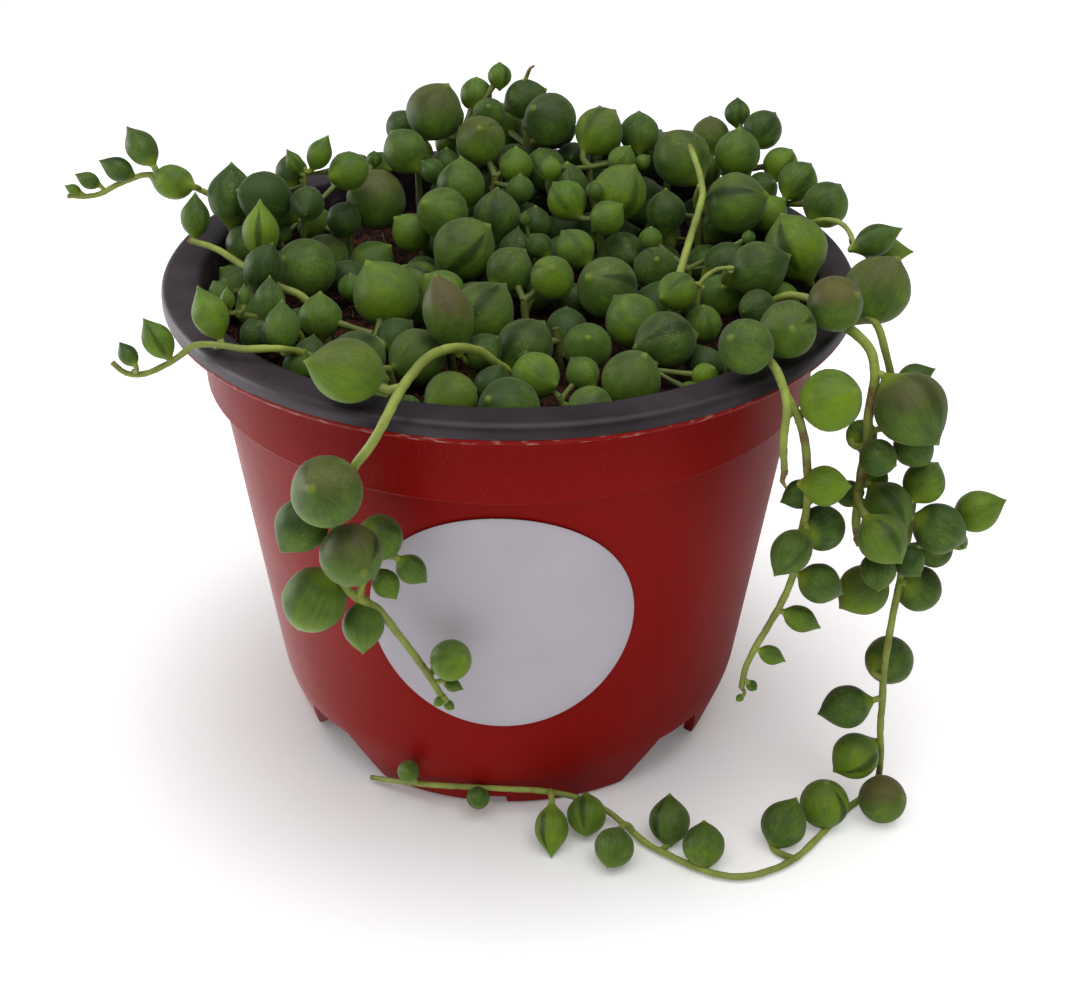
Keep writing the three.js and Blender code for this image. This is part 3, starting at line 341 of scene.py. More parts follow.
# The mound: leaves that hide their stems, as seen from outside
moundLeaves = [
    # left
    [-30.6, 19.6, 71.4, 5.6, "UUL"], [-26.9, 22.8, 77, 2.6, "UU"], [-20.9, 19, 76, 9.3, "LUF", 1, "b-UBL"],
    [-23.3, 23.6, 80, 2.4, "UUL"], [-20, 22, 81, 2.4, "UU"], [-16.1, 22.9, 80, 6.8, "LUB"],
    [-16.6, 30.8, 83.4, 5.6, "LUB"], [-40, 6, 72, 5.8, "RUB"], [-41, 4, 70.4, 4.6, "LU"],
    [-33.5, 6.6, 75, 2.4, "UR"], [-28.7, 10.4, 70, 7.2, "UF"], [-29.5, -2.8, 73.4, 8.9, "LUF"],
    [-34.9, 7, 70, 5, "UL"], [-20.7, 9, 69.8, 6.6, "UR"], [-39, -1.6, 69.6, 6.8, "LUF"],
    [-34.9, -8, 69.6, 7, "LF"], [-41.4, -8.6, 71.4, 3.7, "UUL"], [-26.4, -17.5, 71.8, 6, "UUB"],
    [-19.3, -44.8, 77.9, 8.1, "LLFU", 1.2, "y"], [-19.6, -26, 70.6, 7.6, "FL"],
    [-15.9, -12.5, 74, 9.2, "UUL"], [-22.5, -6.7, 72.4, 3.7, "UU"], [-13, -1.2, 71, 5.8, "LU", 1, "s-UFR"],
    # centre and front
    [-8.6, -12.3, 73.4, 6.1, "UL"], [-4.1, -16, 73, 8.8, "URB", 1, "s-UF"], [-5.6, -7, 70.2, 7, "FU"],
    [-0.6, -6.4, 73.6, 6.6, "URB"], [-6.9, -0.2, 76.4, 9, "RU", 1, "s-FUR"], [6.2, -9, 75.2, 6.2, "FU"],
    [3.6, -4, 70.6, 5, "U"], [13.6, -10.2, 74, 8.7, "LFU", 1, "s-UF"], [1.8, -22, 71.2, 7.8, "URB"],
    [10.9, -22.6, 71, 6.6, "FU"], [10.6, -31.2, 71.2, 4.5, "LUB"], [1.2, -38.4, 70, 8, "LFU"],
    [5.6, -34.4, 69.4, 6.3, "RF"], [3, -29.6, 72, 2, "UU"], [-6.4, -36, 69.8, 7, "FL"],
    [-12, -25, 69.6, 7.8, "FL"], [-12, -37, 69, 3.6, "FU"], [11, -38.8, 70, 6, "FL"],
    [16.3, -32, 71, 7.8, "FU", 1, "s-UF"], [26.2, -31, 71, 3.4, "RU", 1, "l-UR"],
    [24, -34, 70.4, 2.4, "RU"],
    # top
    [-0.5, 7.1, 77.8, 6.8, "UUB"], [-7.7, 13.5, 80, 7.2, "UUB"], [-9.5, 6, 78.3, 7.6, "LFU"],
    [-15.4, 10, 73.6, 5.8, "LU"], [-12.3, 18.9, 80.6, 3.7, "UL"], [-9.6, 22.6, 80.6, 4.3, "U"],
    [-5.1, 23, 83.2, 7.6, "FU", 1, "b"], [0.2, 21, 80.4, 5.2, "U"], [-13.1, 27.5, 86, 8.7, "UUR", 1, "b"],
    [-9.8, 35.4, 83.6, 5.7, "UB"], [-3.8, 30.6, 85.4, 5.2, "FU"], [-5.4, 37, 86.9, 5.2, "UB"],
    [-2.4, 37, 87.8, 3.8, "UUB"], [0.8, 36.6, 86.6, 6.4, "URR"], [6.2, 27.6, 85.2, 8.1, "LUF"],
    [14, 25.7, 84.6, 7.4, "URB"], [18.5, 27.6, 83.7, 6.2, "UB"], [16.7, 18.6, 82.2, 4.3, "URU"],
    [20, 20.4, 81.6, 2.4, "UR"], [4.6, 24.2, 79.4, 6.6, "F"], [1.3, 14.5, 79.2, 4.2, "U"],
    [9.8, 19, 79.2, 6.6, "U"], [6.4, 16, 81.4, 3.3, "UUB"], [7.6, 9.5, 78.8, 5.9, "ULB"],
    [3.6, 8.6, 77.4, 4.8, "U"], [2.1, 4.6, 78.6, 2, "UU"], [4.8, 0.3, 76, 3.8, "ULB"],
    [9, -0.3, 76, 5.6, "ULB"], [11.9, 9.2, 81, 2.6, "U"], [16.2, 11.4, 79, 8.2, "UUR"],
    [14.2, 4.6, 78.8, 5, "UR"],
    # right
    [25.9, 20, 82.4, 8.7, "LUB"], [35.2, 20.3, 82.3, 7, "UU"], [38.1, 18.6, 79.6, 5, "UFR"],
    [38.6, 12, 76.8, 5.6, "RU"], [38, 25.4, 84.5, 6, "URB"], [35.1, 28.4, 85.6, 4, "UUB"],
    [31.5, 28.6, 83.4, 6, "UB", 1, "b"], [30, 24.4, 79, 4.8, "U"], [40.4, 22.4, 81.4, 5.4, "URB"],
    [42.8, 14.8, 80.7, 6, "RUB"], [46.5, 9.4, 79.4, 6.8, "RUB"], [42.4, 7.6, 74.6, 3.6, "UR"],
    [34.6, 1.4, 77.2, 2, "UU"], [21.1, -1.4, 73.4, 6.4, "FU"], [20.6, 4.4, 75.6, 3.5, "UU"],
    [21.8, 11.4, 77.6, 6, "UUB"], [17.4, -17.4, 72.6, 7.6, "LUB"], [20.6, -24.4, 72.4, 8, "LLF"],
    [30.4, -6.2, 71.4, 6.2, "FU"],
    # back, behind the top
    [-9.6, 40.4, 77.4, 6.6, "BUL"], [-2, 42, 79.6, 7, "BU"], [6.4, 41, 80, 7.4, "BUR"],
    [13.7, 36.6, 80.8, 7, "BU"], [21.4, 34.4, 78.5, 7.2, "BUR"], [28.6, 34.4, 77, 6.6, "BR"],
    [-16, 37, 76.6, 6, "BL"], [35.6, 32.4, 76.2, 5.4, "BR"], [14.6, 43, 75, 6, "BD"],
    [2, 46.4, 76.4, 5.4, "BR"], [22.6, 40, 74.6, 5.6, "BR"], [-21.6, 36.6, 74.6, 4.6, "BL"],
]

# Each tuft's hidden stem: x and y of its foot, and its end under the leaves
stalks = [
    [-14, -33, -15, -36, 74], [8, -34, 7, -34.4, 69.4], [19, -27.6, 19.4, -28.6, 70.6],
    [-17, -19, -18.4, -20, 71.4], [-7.6, -20, -8, -21, 70.6], [7.4, -18, 6.6, -17.4, 71.4],
    [25, -19.6, 24.6, -20, 70.4], [-3, -33.4, -2.4, -35, 69.6], [-34, -2.8, -34.4, -3, 70.6],
    [-20, -2, -21, -2.6, 70.6], [-9.4, -7, -9.6, -5.4, 72.4], [2.6, -11.4, 2.2, -10.6, 72.4],
    [12, -3.4, 12.2, -4.4, 73.4], [26.4, 0.4, 26, 0.6, 72.6], [-36, 9.4, -36.6, 8.6, 71],
    [-24.6, 14.4, -25, 15, 73], [-10, 10, -10.6, 11, 76], [3, 3, 3, 3.6, 74], [14, 9, 12.8, 8.8, 78.8],
    [28.4, 12, 28.4, 14, 78.4], [38, 14, 40.4, 15.6, 77], [-14, 21.4, -14.6, 23.6, 79],
    [-3, 19, -2.6, 19.6, 79.4], [12.4, 19.6, 12, 21, 80.4], [24, 26, 24.4, 27, 79.4],
    [36.6, 22.4, 36.4, 23.4, 80], [-8, 31, -8, 33, 81.6], [2.4, 32, 2, 34, 82.4],
    [14, 32.4, 12.6, 32.6, 80], [30.4, 30, 31, 31.6, 78.4],
]

# How the plant fills its room: a stem is straight over one stemStep, as in the solid, and starts buried
growth = {"stemStep": 4.4, "stepShare": 0.125, "stalkRadius": 0.7, "buried": [-3.4, -1, 1], "lowestNeck": 1.4,
          "neckRadius": 0.45, "clearance": 0.4, "soilTop": 65.5, "soilRelief": 0.7}
settling = {"rounds": 260, "push": 0.35, "pull": 0.02, "restFrom": 200, "stemAir": 0.15, "soilAir": 0.2,
            "groundAir": 0.15, "wallPush": 0.5, "pairEvery": 10, "pairMargin": 4, "pointAt": 1.08,
            "pointSize": 0.2}
# How a leaf of the mound finds its stalk: the air its neck keeps to other leaves, stems and necks
necks = {"below": 0.4, "inside": 0.6, "tries": 8, "checks": 15, "leafAir": 0.7, "stemAir": 0.3,
         "neckAir": 1.2}
letters = {"U": (0, 0, 1), "D": (0, 0, -1), "L": (-1, 0, 0), "R": (1, 0, 0), "F": (0, -1, 0), "B": (0, 1, 0)}
splineChecks = 201


def direction(word):
    total = np.sum([letters[letter] for letter in word], axis=0).astype(float)
    return total / np.linalg.norm(total)


class Spline:  # a centripetal Catmull-Rom curve through its points
    def __init__(self, points):
        knots = np.array(points, float)
        self.knots = np.vstack([2 * knots[0] - knots[1], knots, 2 * knots[-1] - knots[-2]])
        self.spans = len(points) - 1
        self.shares = np.linspace(0, 1, splineChecks)
        steps = np.linalg.norm(np.diff(self.at(self.shares), axis=0), axis=1)
        self.lengths = np.concatenate([[0], np.cumsum(steps)])
        self.length = self.lengths[-1]

    def at(self, shares):
        shares = np.atleast_1d(shares) * self.spans
        spans = np.minimum(shares.astype(int), self.spans - 1)
        t = (shares - spans)[:, None]
        p0, p1, p2, p3 = (self.knots[spans + i] for i in range(4))
        d0, d1, d2 = (np.sqrt(np.linalg.norm(b - a, axis=1))[:, None]
                      for a, b in ((p0, p1), (p1, p2), (p2, p3)))
        m1 = ((p1 - p0) / d0 - (p2 - p0) / (d0 + d1) + (p2 - p1) / d1) * d1
        m2 = ((p2 - p1) / d1 - (p3 - p1) / (d1 + d2) + (p3 - p2) / d2) * d1
        bend = -3 * p1 + 3 * p2 - 2 * m1 - m2
        twist = 2 * p1 - 2 * p2 + m1 + m2
        return p1 + m1 * t + bend * t**2 + twist * t**3

    def spaced(self, count):  # count + 1 points, evenly spaced along the curve
        wanted = np.linspace(0, self.length, count + 1)
        return self.at(np.interp(wanted, self.lengths, self.shares))


potSize = {  # the pot's section, as in the solid
    "height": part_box("pot")[1].z / mm, "lipRadius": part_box("pot")[1].x / mm,
    "lipInner": 44.3, "lipDrop": 3, "collarRadius": 45, "collarFoot": 59,
    "shoulderRadius": 42.8, "shoulderHeight": 58.2, "heelRadius": 36.1, "heelHeight": 9,
    "footRadius": 32.8, "wall": 0.9, "padRadius": 13, "padSlope": 1.2, "ringInner": 31.2, "ringTop": 34,
    "channelHeight": 8.4, "floorHeight": 9.3, "lipHalf": 1.5, "wallHalf": 0.6, "wallDepth": 0.5,
}
p = potSize
lipMiddle, depth, half = p["height"] - p["lipHalf"], p["wallDepth"], p["wallHalf"]
potSection = [  # thick lines, (radius, height, radius, height, half thickness)
    (p["lipInner"] + p["lipHalf"], lipMiddle, p["lipRadius"] - p["lipHalf"], lipMiddle, p["lipHalf"]),
    (p["collarRadius"] - depth, lipMiddle, p["collarRadius"] - 0.8, p["collarFoot"], half),
    (p["shoulderRadius"] - depth, p["shoulderHeight"], p["heelRadius"] - depth, p["heelHeight"], half),
    (p["heelRadius"] - depth, p["heelHeight"], p["footRadius"] - depth, 0, half),
]


def inPot(at):
    return (np.hypot(at[:, 0], at[:, 1]) < p["lipInner"]) & (at[:, 2] > p["height"] / 2)


def makeStem(name, foot, points, radius, branches=()):
    buried = [[*foot, growth["soilTop"] + depth] for depth in growth["buried"]]
    curves = [Spline(buried + list(points)), *map(Spline, branches)]
    samples = []
    for curve in curves:
        knots = curve.spaced(math.ceil(curve.length / growth["stemStep"]))
        shares = np.arange(0, 1, growth["stepShare"])[:, None]
        for start, end in zip(knots[:-1], knots[1:]):
            samples.extend(start + (end - start) * shares)
        samples.append(knots[-1])
    samples = np.array(samples)
    free = ~inPot(samples) | (samples[:, 2] > growth["soilTop"] + growth["lowestNeck"])
    return {"name": name, "curves": curves, "radius": radius, "samples": samples[free], "necks": []}


def makeLeaf(numbers, stemName=None):
    x, y, z, width, tip, stretch, *look = numbers if len(numbers) > 5 else [*numbers, 1]
    return {"at": np.array([x, y, z], float), "radius": width / 2, "tip": direction(tip), "stretch": stretch,
            "stem": stemName, "look": look[0] if look else ""}


def keepOff(at, radius):  # how far balls have to move to be clear of the pot, the peat and the ground
    move = np.zeros_like(at)
    fromAxis = np.hypot(at[:, 0], at[:, 1])
    for r0, z0, r1, z1, half in potSection:
        along = (fromAxis - r0) * (r1 - r0) + (at[:, 2] - z0) * (z1 - z0)
        share = np.clip(along / ((r1 - r0) ** 2 + (z1 - z0) ** 2), 0, 1)
        outward = fromAxis - (r0 + share * (r1 - r0))
        upward = at[:, 2] - (z0 + share * (z1 - z0))
        distance = np.hypot(outward, upward)
        lack = np.maximum(radius + half + growth["clearance"] - distance, 0)
        scale = settling["wallPush"] * lack / distance
        move[:, :2] += (outward * scale)[:, None] * at[:, :2] / fromAxis[:, None]
        move[:, 2] += upward * scale
    soil = growth["soilTop"] + growth["soilRelief"] + settling["soilAir"]
    floor = np.where(inPot(at), soil, settling["groundAir"])
    move[:, 2] += settling["wallPush"] * np.maximum(floor + radius - at[:, 2], 0)
    return move


def nearPairs(balls, others, reach):
    distance = np.linalg.norm(balls[:, None] - others[None], axis=2)
    first, second = np.nonzero((distance < reach + settling["pairMargin"]) & (reach > 0))
    return first, second, reach[first, second]


def reachBetween(radii, others, same):
    reach = radii[:, None] + others[None] + growth["clearance"]
    reach[same] = -1
    return reach


def settle(leaves, stems):  # leaves push one another apart, and stems, pot and peat push them
    home = np.array([leaf["at"] for leaf in leaves])
    balls = []
    for number, leaf in enumerate(leaves):
        reach = leaf["radius"] * (leaf["stretch"] - 1)
        point = leaf["radius"] * leaf["stretch"] * settling["pointAt"]
        for distance, size in ((reach, 1), (-reach, 1), (point, settling["pointSize"])):
            balls.append((number, leaf["tip"] * distance, leaf["radius"] * size))
    owner, offset, radius = map(np.array, zip(*balls))
    fixed = np.vstack([stem["samples"][::2] for stem in stems])
    counts = [len(stem["samples"][::2]) for stem in stems]
    fixedRadius = np.repeat([stem["radius"] + settling["stemAir"] for stem in stems], counts)
    fixedName = np.repeat([stem["name"] for stem in stems], counts)
    ballStem = np.array([leaves[number]["stem"] or "" for number in owner])
    reachLeaf = reachBetween(radius, radius, owner[:, None] == owner[None])
    reachStem = reachBetween(radius, fixedRadius, ballStem[:, None] == fixedName[None])
    now = home.copy()
    for turn in range(settling["rounds"]):
        at = now[owner] + offset
        if turn % settling["pairEvery"] == 0:  # the pairs near enough to matter for the next rounds
            pairs = [nearPairs(at, others, reach) for others, reach in ((at, reachLeaf), (fixed, reachStem))]
        push = keepOff(at, radius)
        for (first, second, reach), others in zip(pairs, (at, fixed)):
            apart = at[first] - others[second]
            distance = np.linalg.norm(apart, axis=1)
            lack = np.maximum(reach - distance, 0) * settling["push"]
            np.add.at(push, first, apart * (lack / np.maximum(distance, 1e-9))[:, None])
        move = np.zeros_like(now)
        np.add.at(move, owner, push)
        now += move
        if turn < settling["restFrom"]:
            now += (home - now) * settling["pull"]
    for leaf, at in zip(leaves, now):
        leaf["at"] = at


def nearestOn(stem, at):
    return stem["samples"][np.argmin(np.linalg.norm(stem["samples"] - at, axis=1))]


def straightNeck(leaf, stem):
    start = nearestOn(stem, leaf["at"] - [0, 0, necks["below"] * leaf["radius"]])
    return start, leaf["at"] + unit(start - leaf["at"]) * necks["inside"] * leaf["radius"]


def chooseStalk(leaf):  # the nearest stalk that a neck reaches freely
    def gapTo(tuft):
        return np.linalg.norm(nearestOn(tuft, leaf["at"]) - leaf["at"])

    def blocks(other, points):
        def gap(line):
            return np.linalg.norm(points[:, None] - line[None], axis=2).min()
        near = gap(other["samples"]) <= growth["neckRadius"] + other["radius"] + necks["stemAir"]
        return near or any(gap(neck) <= necks["neckAir"] for neck in other["necks"])
    centres = np.array([other["at"] for other in everyLeaf])
    reach = np.array([other["radius"] * other["stretch"] + necks["leafAir"] for other in everyLeaf])
    nearest = sorted(tufts, key=gapTo)
    for tuft in nearest[:necks["tries"]]:
        start, end = straightNeck(leaf, tuft)
        points = start + (end - start) * np.linspace(0, 1, necks["checks"])[:, None]
        mine = np.array([other is leaf or other.get("stalk") is tuft for other in everyLeaf])
        near = np.linalg.norm(points[:, None] - centres[None], axis=2).min(axis=0) <= reach
        others = [other for other in tufts + strandStems if other is not tuft]
        if not np.any(near & ~mine) and not any(blocks(other, points) for other in others):
            tuft["necks"].append(points)
            return tuft
    return nearest[0]


strandStems = [makeStem(name, strand["foot"], strand["stem"], strand["radius"], strand.get("branches", ()))
               for name, strand in strands.items()]
tufts = [makeStem(f"tuft_{number + 1:02d}", numbers[:2], [numbers[2:]], growth["stalkRadius"])
         for number, numbers in enumerate(stalks)]
strandLeaves = [makeLeaf(numbers, name) for name, strand in strands.items() for numbers in strand["leaves"]]
shownLeaves = [makeLeaf(numbers) for numbers in moundLeaves]
everyLeaf = strandLeaves + shownLeaves
settle(everyLeaf, strandStems + tufts)
for leaf in shownLeaves:
    leaf["stalk"] = chooseStalk(leaf)
print("plant laid out:", len(everyLeaf), "leaves")


# Effects that several finishes share
def makeSpeckles():  # small pale dots, and a slow cloudy change, over any surface
    inputs = {"Place": "Vector", "Dot Spacing": "Float", "Dot Size": "Float", "Cloud Scale": "Float"}
    start, end = startTree("paleSpeckles", "ShaderNodeTree", inputs, {"Dots": "Float", "Cloud": "Float"})
    cells = {"Vector": start["Place"], "Scale": start["Dot Spacing"]}
    distance = node("ShaderNodeTexVoronoi", cells, "Distance")
    patches = cloud(start["Place"], start["Cloud Scale"], 3.0)
    limit = start["Dot Size"] * remap(patches, 0.35, 0.65)
    setInputs(end, {"Dots": calc("LESS_THAN", distance, limit), "Cloud": patches})
    return state["tree"]


def makeGrain():  # fine uneven height, for a Bump node
    inputs = {"Place": "Vector", "Fine": "Float", "Coarse": "Float", "Share": "Float"}
    start, end = startTree("fineGrain", "ShaderNodeTree", inputs, {"Height": "Float"})
    fine, coarse = cloud(start["Place"], start["Fine"], 4.0), cloud(start["Place"], start["Coarse"], 2.0)
    setInputs(end, {"Height": node("ShaderNodeMix", {0: start["Share"], 2: fine, 3: coarse})})
    return state["tree"]


speckleGroup = makeSpeckles()
grainGroup = makeGrain()


def useGroup(group, *values):
    made = addNode("ShaderNodeGroup", node_tree=group)
    setInputs(made, dict(enumerate(values)))
    return [Signal(out) for out in made.outputs]


def startMaterial(name, **settings):
    material = bpy.data.materials.new(name)
    material.use_nodes = True
    state["tree"] = material.node_tree
    shader = material.node_tree.nodes["Principled BSDF"]
    setInputs(shader, {label.replace("_", " "): value for label, value in settings.items()})
    return material, shader, node("ShaderNodeTexCoord", out="Object")


def bump(height, strength, distance):
    return node("ShaderNodeBump", {"Height": height, "Strength": strength, "Distance": distance})


def grainBump(where, fine, coarse, share, strength, distance):
    return bump(useGroup(grainGroup, where, fine, coarse, share)[0], strength, distance)


def attribute(name, out="Vector"):
    return node("ShaderNodeAttribute", out=out, attribute_name=name)


# rim is the grey-green of a painted sheen along each leaf's outline
leafFinish = {
    "dark": rgb(50, 74, 32), "middle": rgb(84, 112, 40), "lime": rgb(112, 142, 22), "blush": rgb(96, 84, 42),
    "plum": rgb(88, 78, 54), "stripe": rgb(18, 34, 8), "rim": rgb(108, 116, 88), "tip": rgb(124, 142, 50),
    "dot": rgb(118, 136, 78), "base": rgb(118, 140, 36), "roughness": 0.48, "stripeWidth": 0.32,
}


def makeLeafMaterial(finish):
    material, shader, where = startMaterial(
        "waxyLeaf", Roughness=finish["roughness"], Specular_IOR_Level=0.16, Sheen_Weight=0.06,
        Sheen_Roughness=0.45, Subsurface_Weight=0.12, Subsurface_Radius=(0.5, 1.0, 0.25),
        Subsurface_Scale=0.0012)
    tone, blush, stripe = split(attribute("leafLook"))
    x, y, z = split(attribute("leafPlace"))
    dots, patches = useGroup(speckleGroup, where, 2600.0, 0.3, 260.0)
    fromAxis = calc("SQRT", x * x + y * y)
    girth = calc("MAXIMUM", fromAxis, 0.02)
    along = node("ShaderNodeCombineXYZ", {0: x / girth, 1: y / girth, 2: z * 0.3})
    streaks = cloud(vecCalc("ADD", along, vecCalc("SCALE", where, 60.0)), 6.5, 4.0, 0.65)
    streaks = (streaks - 0.5) * calc("MINIMUM", fromAxis * 1.6, 1.0)
    up = split(node("ShaderNodeNewGeometry", out="Normal"))[2]
    toneWithPaintedUnderlight = tone + (patches - 0.5) + streaks * 0.8 + (0.3 - up) * 0.22  # painted light: faces turned down are limier and faces turned up darker, as if light came through the leaf
    marks = addNode("ShaderNodeValToRGB", {0: toneWithPaintedUnderlight})
    marks.color_ramp.elements.new(0.5)
    stops = ((0.05, "dark"), (0.5, "middle"), (0.95, "lime"))
    for mark, (at, name) in zip(marks.color_ramp.elements, stops):
        mark.position, mark.color = at, finish[name]
    blotch = cloud(where, 150.0, 4.0, 0.6)
    blushed = ease(up, -0.1, 0.85) * blush * remap(blotch, 0.32, 0.62, 0.45, 1.0)
    blushColour = mix(remap(blotch, 0.4, 0.6), finish["blush"], finish["plum"])
    colour = mix(calc("MINIMUM", blushed, 0.92), Signal(marks.outputs["Color"]), blushColour)
    wander = calc("ABSOLUTE", x) + (blotch - 0.5) * 0.1
    width = finish["stripeWidth"]
    line = ease(wander / calc("MAXIMUM", 1.0 - z * z, 0.05), width * 0.2, width, 1.0, 0.0)
    line = line * calc("GREATER_THAN", y, 0.0) * ease(z, -0.85, -0.55) * ease(z, 0.8, 0.98, 1.0, 0.0)
    line = line * calc("MINIMUM", stripe, 1.0)
    facing = node("ShaderNodeLayerWeight", {"Blend": 0.5}, "Facing")
    # the rim cover lightens a leaf's outline where it turns away from view: painted sheen
    covers = {"stripe": line * 0.72, "dot": dots * 0.5, "base": ease(z, -1.0, -0.72, 0.85, 0.0),
              "tip": ease(z, 0.98, 1.0, 0.0, 0.7), "rim": ease(facing, 0.5, 1.0, 0.0, 0.25)}
    for name, share in covers.items():
        colour = mix(share, colour, finish[name])
    height = useGroup(grainGroup, where, 1800.0, 420.0, 0.55)[0] - line * 0.55
    setInputs(shader, {"Base Color": colour, "Roughness": (patches - 0.5) * 0.3 + finish["roughness"],
                       "Normal": bump(height, 0.26, 0.00025)})
    return material


stemFinish = {
    "young": rgb(150, 166, 70), "old": rgb(118, 128, 54), "scar": rgb(108, 66, 40), "roughness": 0.6}
# a darker copy of the stem colours, for the stems inside the mound and the small leaves' necks: painted shade
shadedFinish = {
    "young": rgb(104, 116, 46), "old": rgb(74, 82, 34), "scar": rgb(80, 52, 34), "roughness": 0.65}


def makeStemMaterial(name, finish):
    material, shader, where = startMaterial(
        name, Roughness=finish["roughness"], Subsurface_Weight=0.08, Subsurface_Scale=0.0006)
    colour = mix(remap(cloud(where, 230.0, 4.0), 0.35, 0.68), finish["young"], finish["old"])
    bits = cloud(where, 900.0, 3.0)
    scar = attribute("stemScar", "Fac") * remap(bits, 0.4, 0.6, 0.15, 0.9)
    colour = mix(calc("MAXIMUM", remap(bits, 0.64, 0.74, 0.0, 0.4), scar), colour, finish["scar"])
    setInputs(shader, {"Base Color": colour, "Normal": grainBump(where, 2600.0, 700.0, 0.5, 0.4, 0.00025)})
    return material


redFinish = {"colour": rgb(144, 18, 14), "second": rgb(118, 13, 10), "scuff": rgb(196, 150, 140),
             "specular": 0.06, "scuffShare": 0.8}
# on the black lip the lighter purple-grey second colour, laid in cloudy patches, is painted sheen; the same
# colour marks its scuffs
blackFinish = {"colour": rgb(28, 21, 27), "second": rgb(88, 74, 84), "scuff": rgb(88, 74, 84),
               "specular": 0.3, "scuffShare": 0.9}
plastic = {"roughness": 0.42, "unevenness": 0.22, "edgeWear": 0.0014, "crease": 2.1, "creaseWidth": 0.00022}


def makePotMaterial(name, finish):
    material, shader, where = startMaterial(
        name, Roughness=plastic["roughness"], Specular_IOR_Level=finish["specular"])
    patches = cloud(where, 38.0, 5.0, 0.65)
    # cloudy patches of the second colour: random tone on the red, painted sheen on the black lip
    colour = mix(remap(patches, 0.35, 0.7, 0.0, 0.5), finish["colour"], finish["second"])
    dots = useGroup(speckleGroup, where, 1400.0, 0.16, 60.0)[0]
    scratch = cloud(node("ShaderNodeMapping", {"Vector": where, "Scale": (1.0, 1.0, 3.0)}), 520.0, 3.0)
    height = split(where)[2]
    lipFoot = potSize["height"] - potSize["lipDrop"]

    def near(level, reach, share):  # fades with the distance from one height
        return remap(calc("ABSOLUTE", height - level * mm), 0.0, reach, share, 0.0)
    worn = near(lipFoot, plastic["edgeWear"], 1.0) * remap(scratch, 0.56, 0.66)
    crease = near(lipFoot - plastic["crease"], plastic["creaseWidth"], 0.35) * remap(scratch, 0.4, 0.6)
    dust = calc("MAXIMUM", dots * 0.12, crease)
    colour = mix(calc("MAXIMUM", worn, dust) * finish["scuffShare"], colour, finish["scuff"])
    rough = (patches - 0.5) * plastic["unevenness"] + plastic["roughness"]
    setInputs(shader, {"Base Color": colour, "Roughness": rough,
                       "Normal": grainBump(where, 1500.0, 55.0, 0.5, 0.16, 0.0003)})
    return material


def makeLabelMaterial():
    material, shader, where = startMaterial("paperLabel", Roughness=0.75, Specular_IOR_Level=0.1)
    colour = mix(remap(cloud(where, 70.0, 3.0), 0.3, 0.7), rgb(192, 187, 196), rgb(200, 195, 203))
    colour = mix(useGroup(speckleGroup, where, 1100.0, 0.1, 90.0)[0] * 0.25, colour, rgb(150, 145, 155))
    setInputs(shader, {"Base Color": colour, "Normal": grainBump(where, 2400.0, 60.0, 0.4, 0.12, 0.0002)})
    return material


def makePeatMaterial(name, dark, light, scale):
    material, shader, where = startMaterial(name, Roughness=0.9, Specular_IOR_Level=0.2)
    cells = node("ShaderNodeTexVoronoi", {"Vector": where, "Scale": scale}, "Color")
    share = cloud(where, scale * 0.6, 5.0) * node("ShaderNodeSeparateColor", {0: cells})
    setInputs(shader, {"Base Color": mix(remap(share, 0.1, 0.55), dark, light),
                       "Normal": grainBump(where, 1900.0, 500.0, 0.5, 0.7, 0.0006)})
    return material


leafMaterial = makeLeafMaterial(leafFinish)
stemMaterial = makeStemMaterial("greenStem", stemFinish)
shadedStem = makeStemMaterial("shadedStem", shadedFinish)
redPlastic = makePotMaterial("redPlastic", redFinish)
blackPlastic = makePotMaterial("blackPlastic", blackFinish)
paperLabel = makeLabelMaterial()
# the bed is darker than its crumbs: the peat's own dark colour, deepened as painted shade of the gaps under
# the leaves
peatMaterial = makePeatMaterial("dampPeatPaintedShade", rgb(20, 11, 9), rgb(74, 38, 28), 900.0)
crumbMaterial = makePeatMaterial("peatCrumb", rgb(30, 16, 12), rgb(124, 66, 46), 600.0)
fibreMaterial = makePeatMaterial("coirFibre", rgb(128, 92, 60), rgb(190, 160, 118), 300.0)
print("finishes ready")

# Pot
potFine = {"segments": 192, "cornerSteps": 4, "archSteps": 5, "sharpFrom": 38, "collarIn": 0.4, "dipIn": 0.8,
           "skirt": 0.7, "colourEdge": 0.9, "innerStep": 0.6}
potArches = [  # in the foot: degrees round, width at the ground, width at the top, height
    (-139.5, 18, 9.5, 8.1), (-92, 3, 3, 1.8), (-43, 17.5, 9, 8.1), (-2, 3, 3, 1.8),
    (45, 18, 9.5, 8.1), (88, 3, 3, 1.8), (135, 18, 9.5, 8.1), (178, 3, 3, 1.8),
]
potHoles = {"count": 6, "radius": 2.4, "circle": 21, "segments": 40}


def roundedProfile(corners, steps):  # corners are (radius, height, rounding, part)
    line, parts = [], []
    for i, (radius, height, rounding, part) in enumerate(corners):
        here = np.array([radius, height], float)
        if rounding:
            before, after = (unit(np.array(corners[j][:2]) - here) * rounding for j in (i - 1, i + 1))
            bend = [here + before * (1 - t) ** 2 + after * t**2 for t in np.linspace(0, 1, steps + 1)]
        else:
            bend = [here]
        line += bend
        parts += [part] * len(bend)
    return line, parts


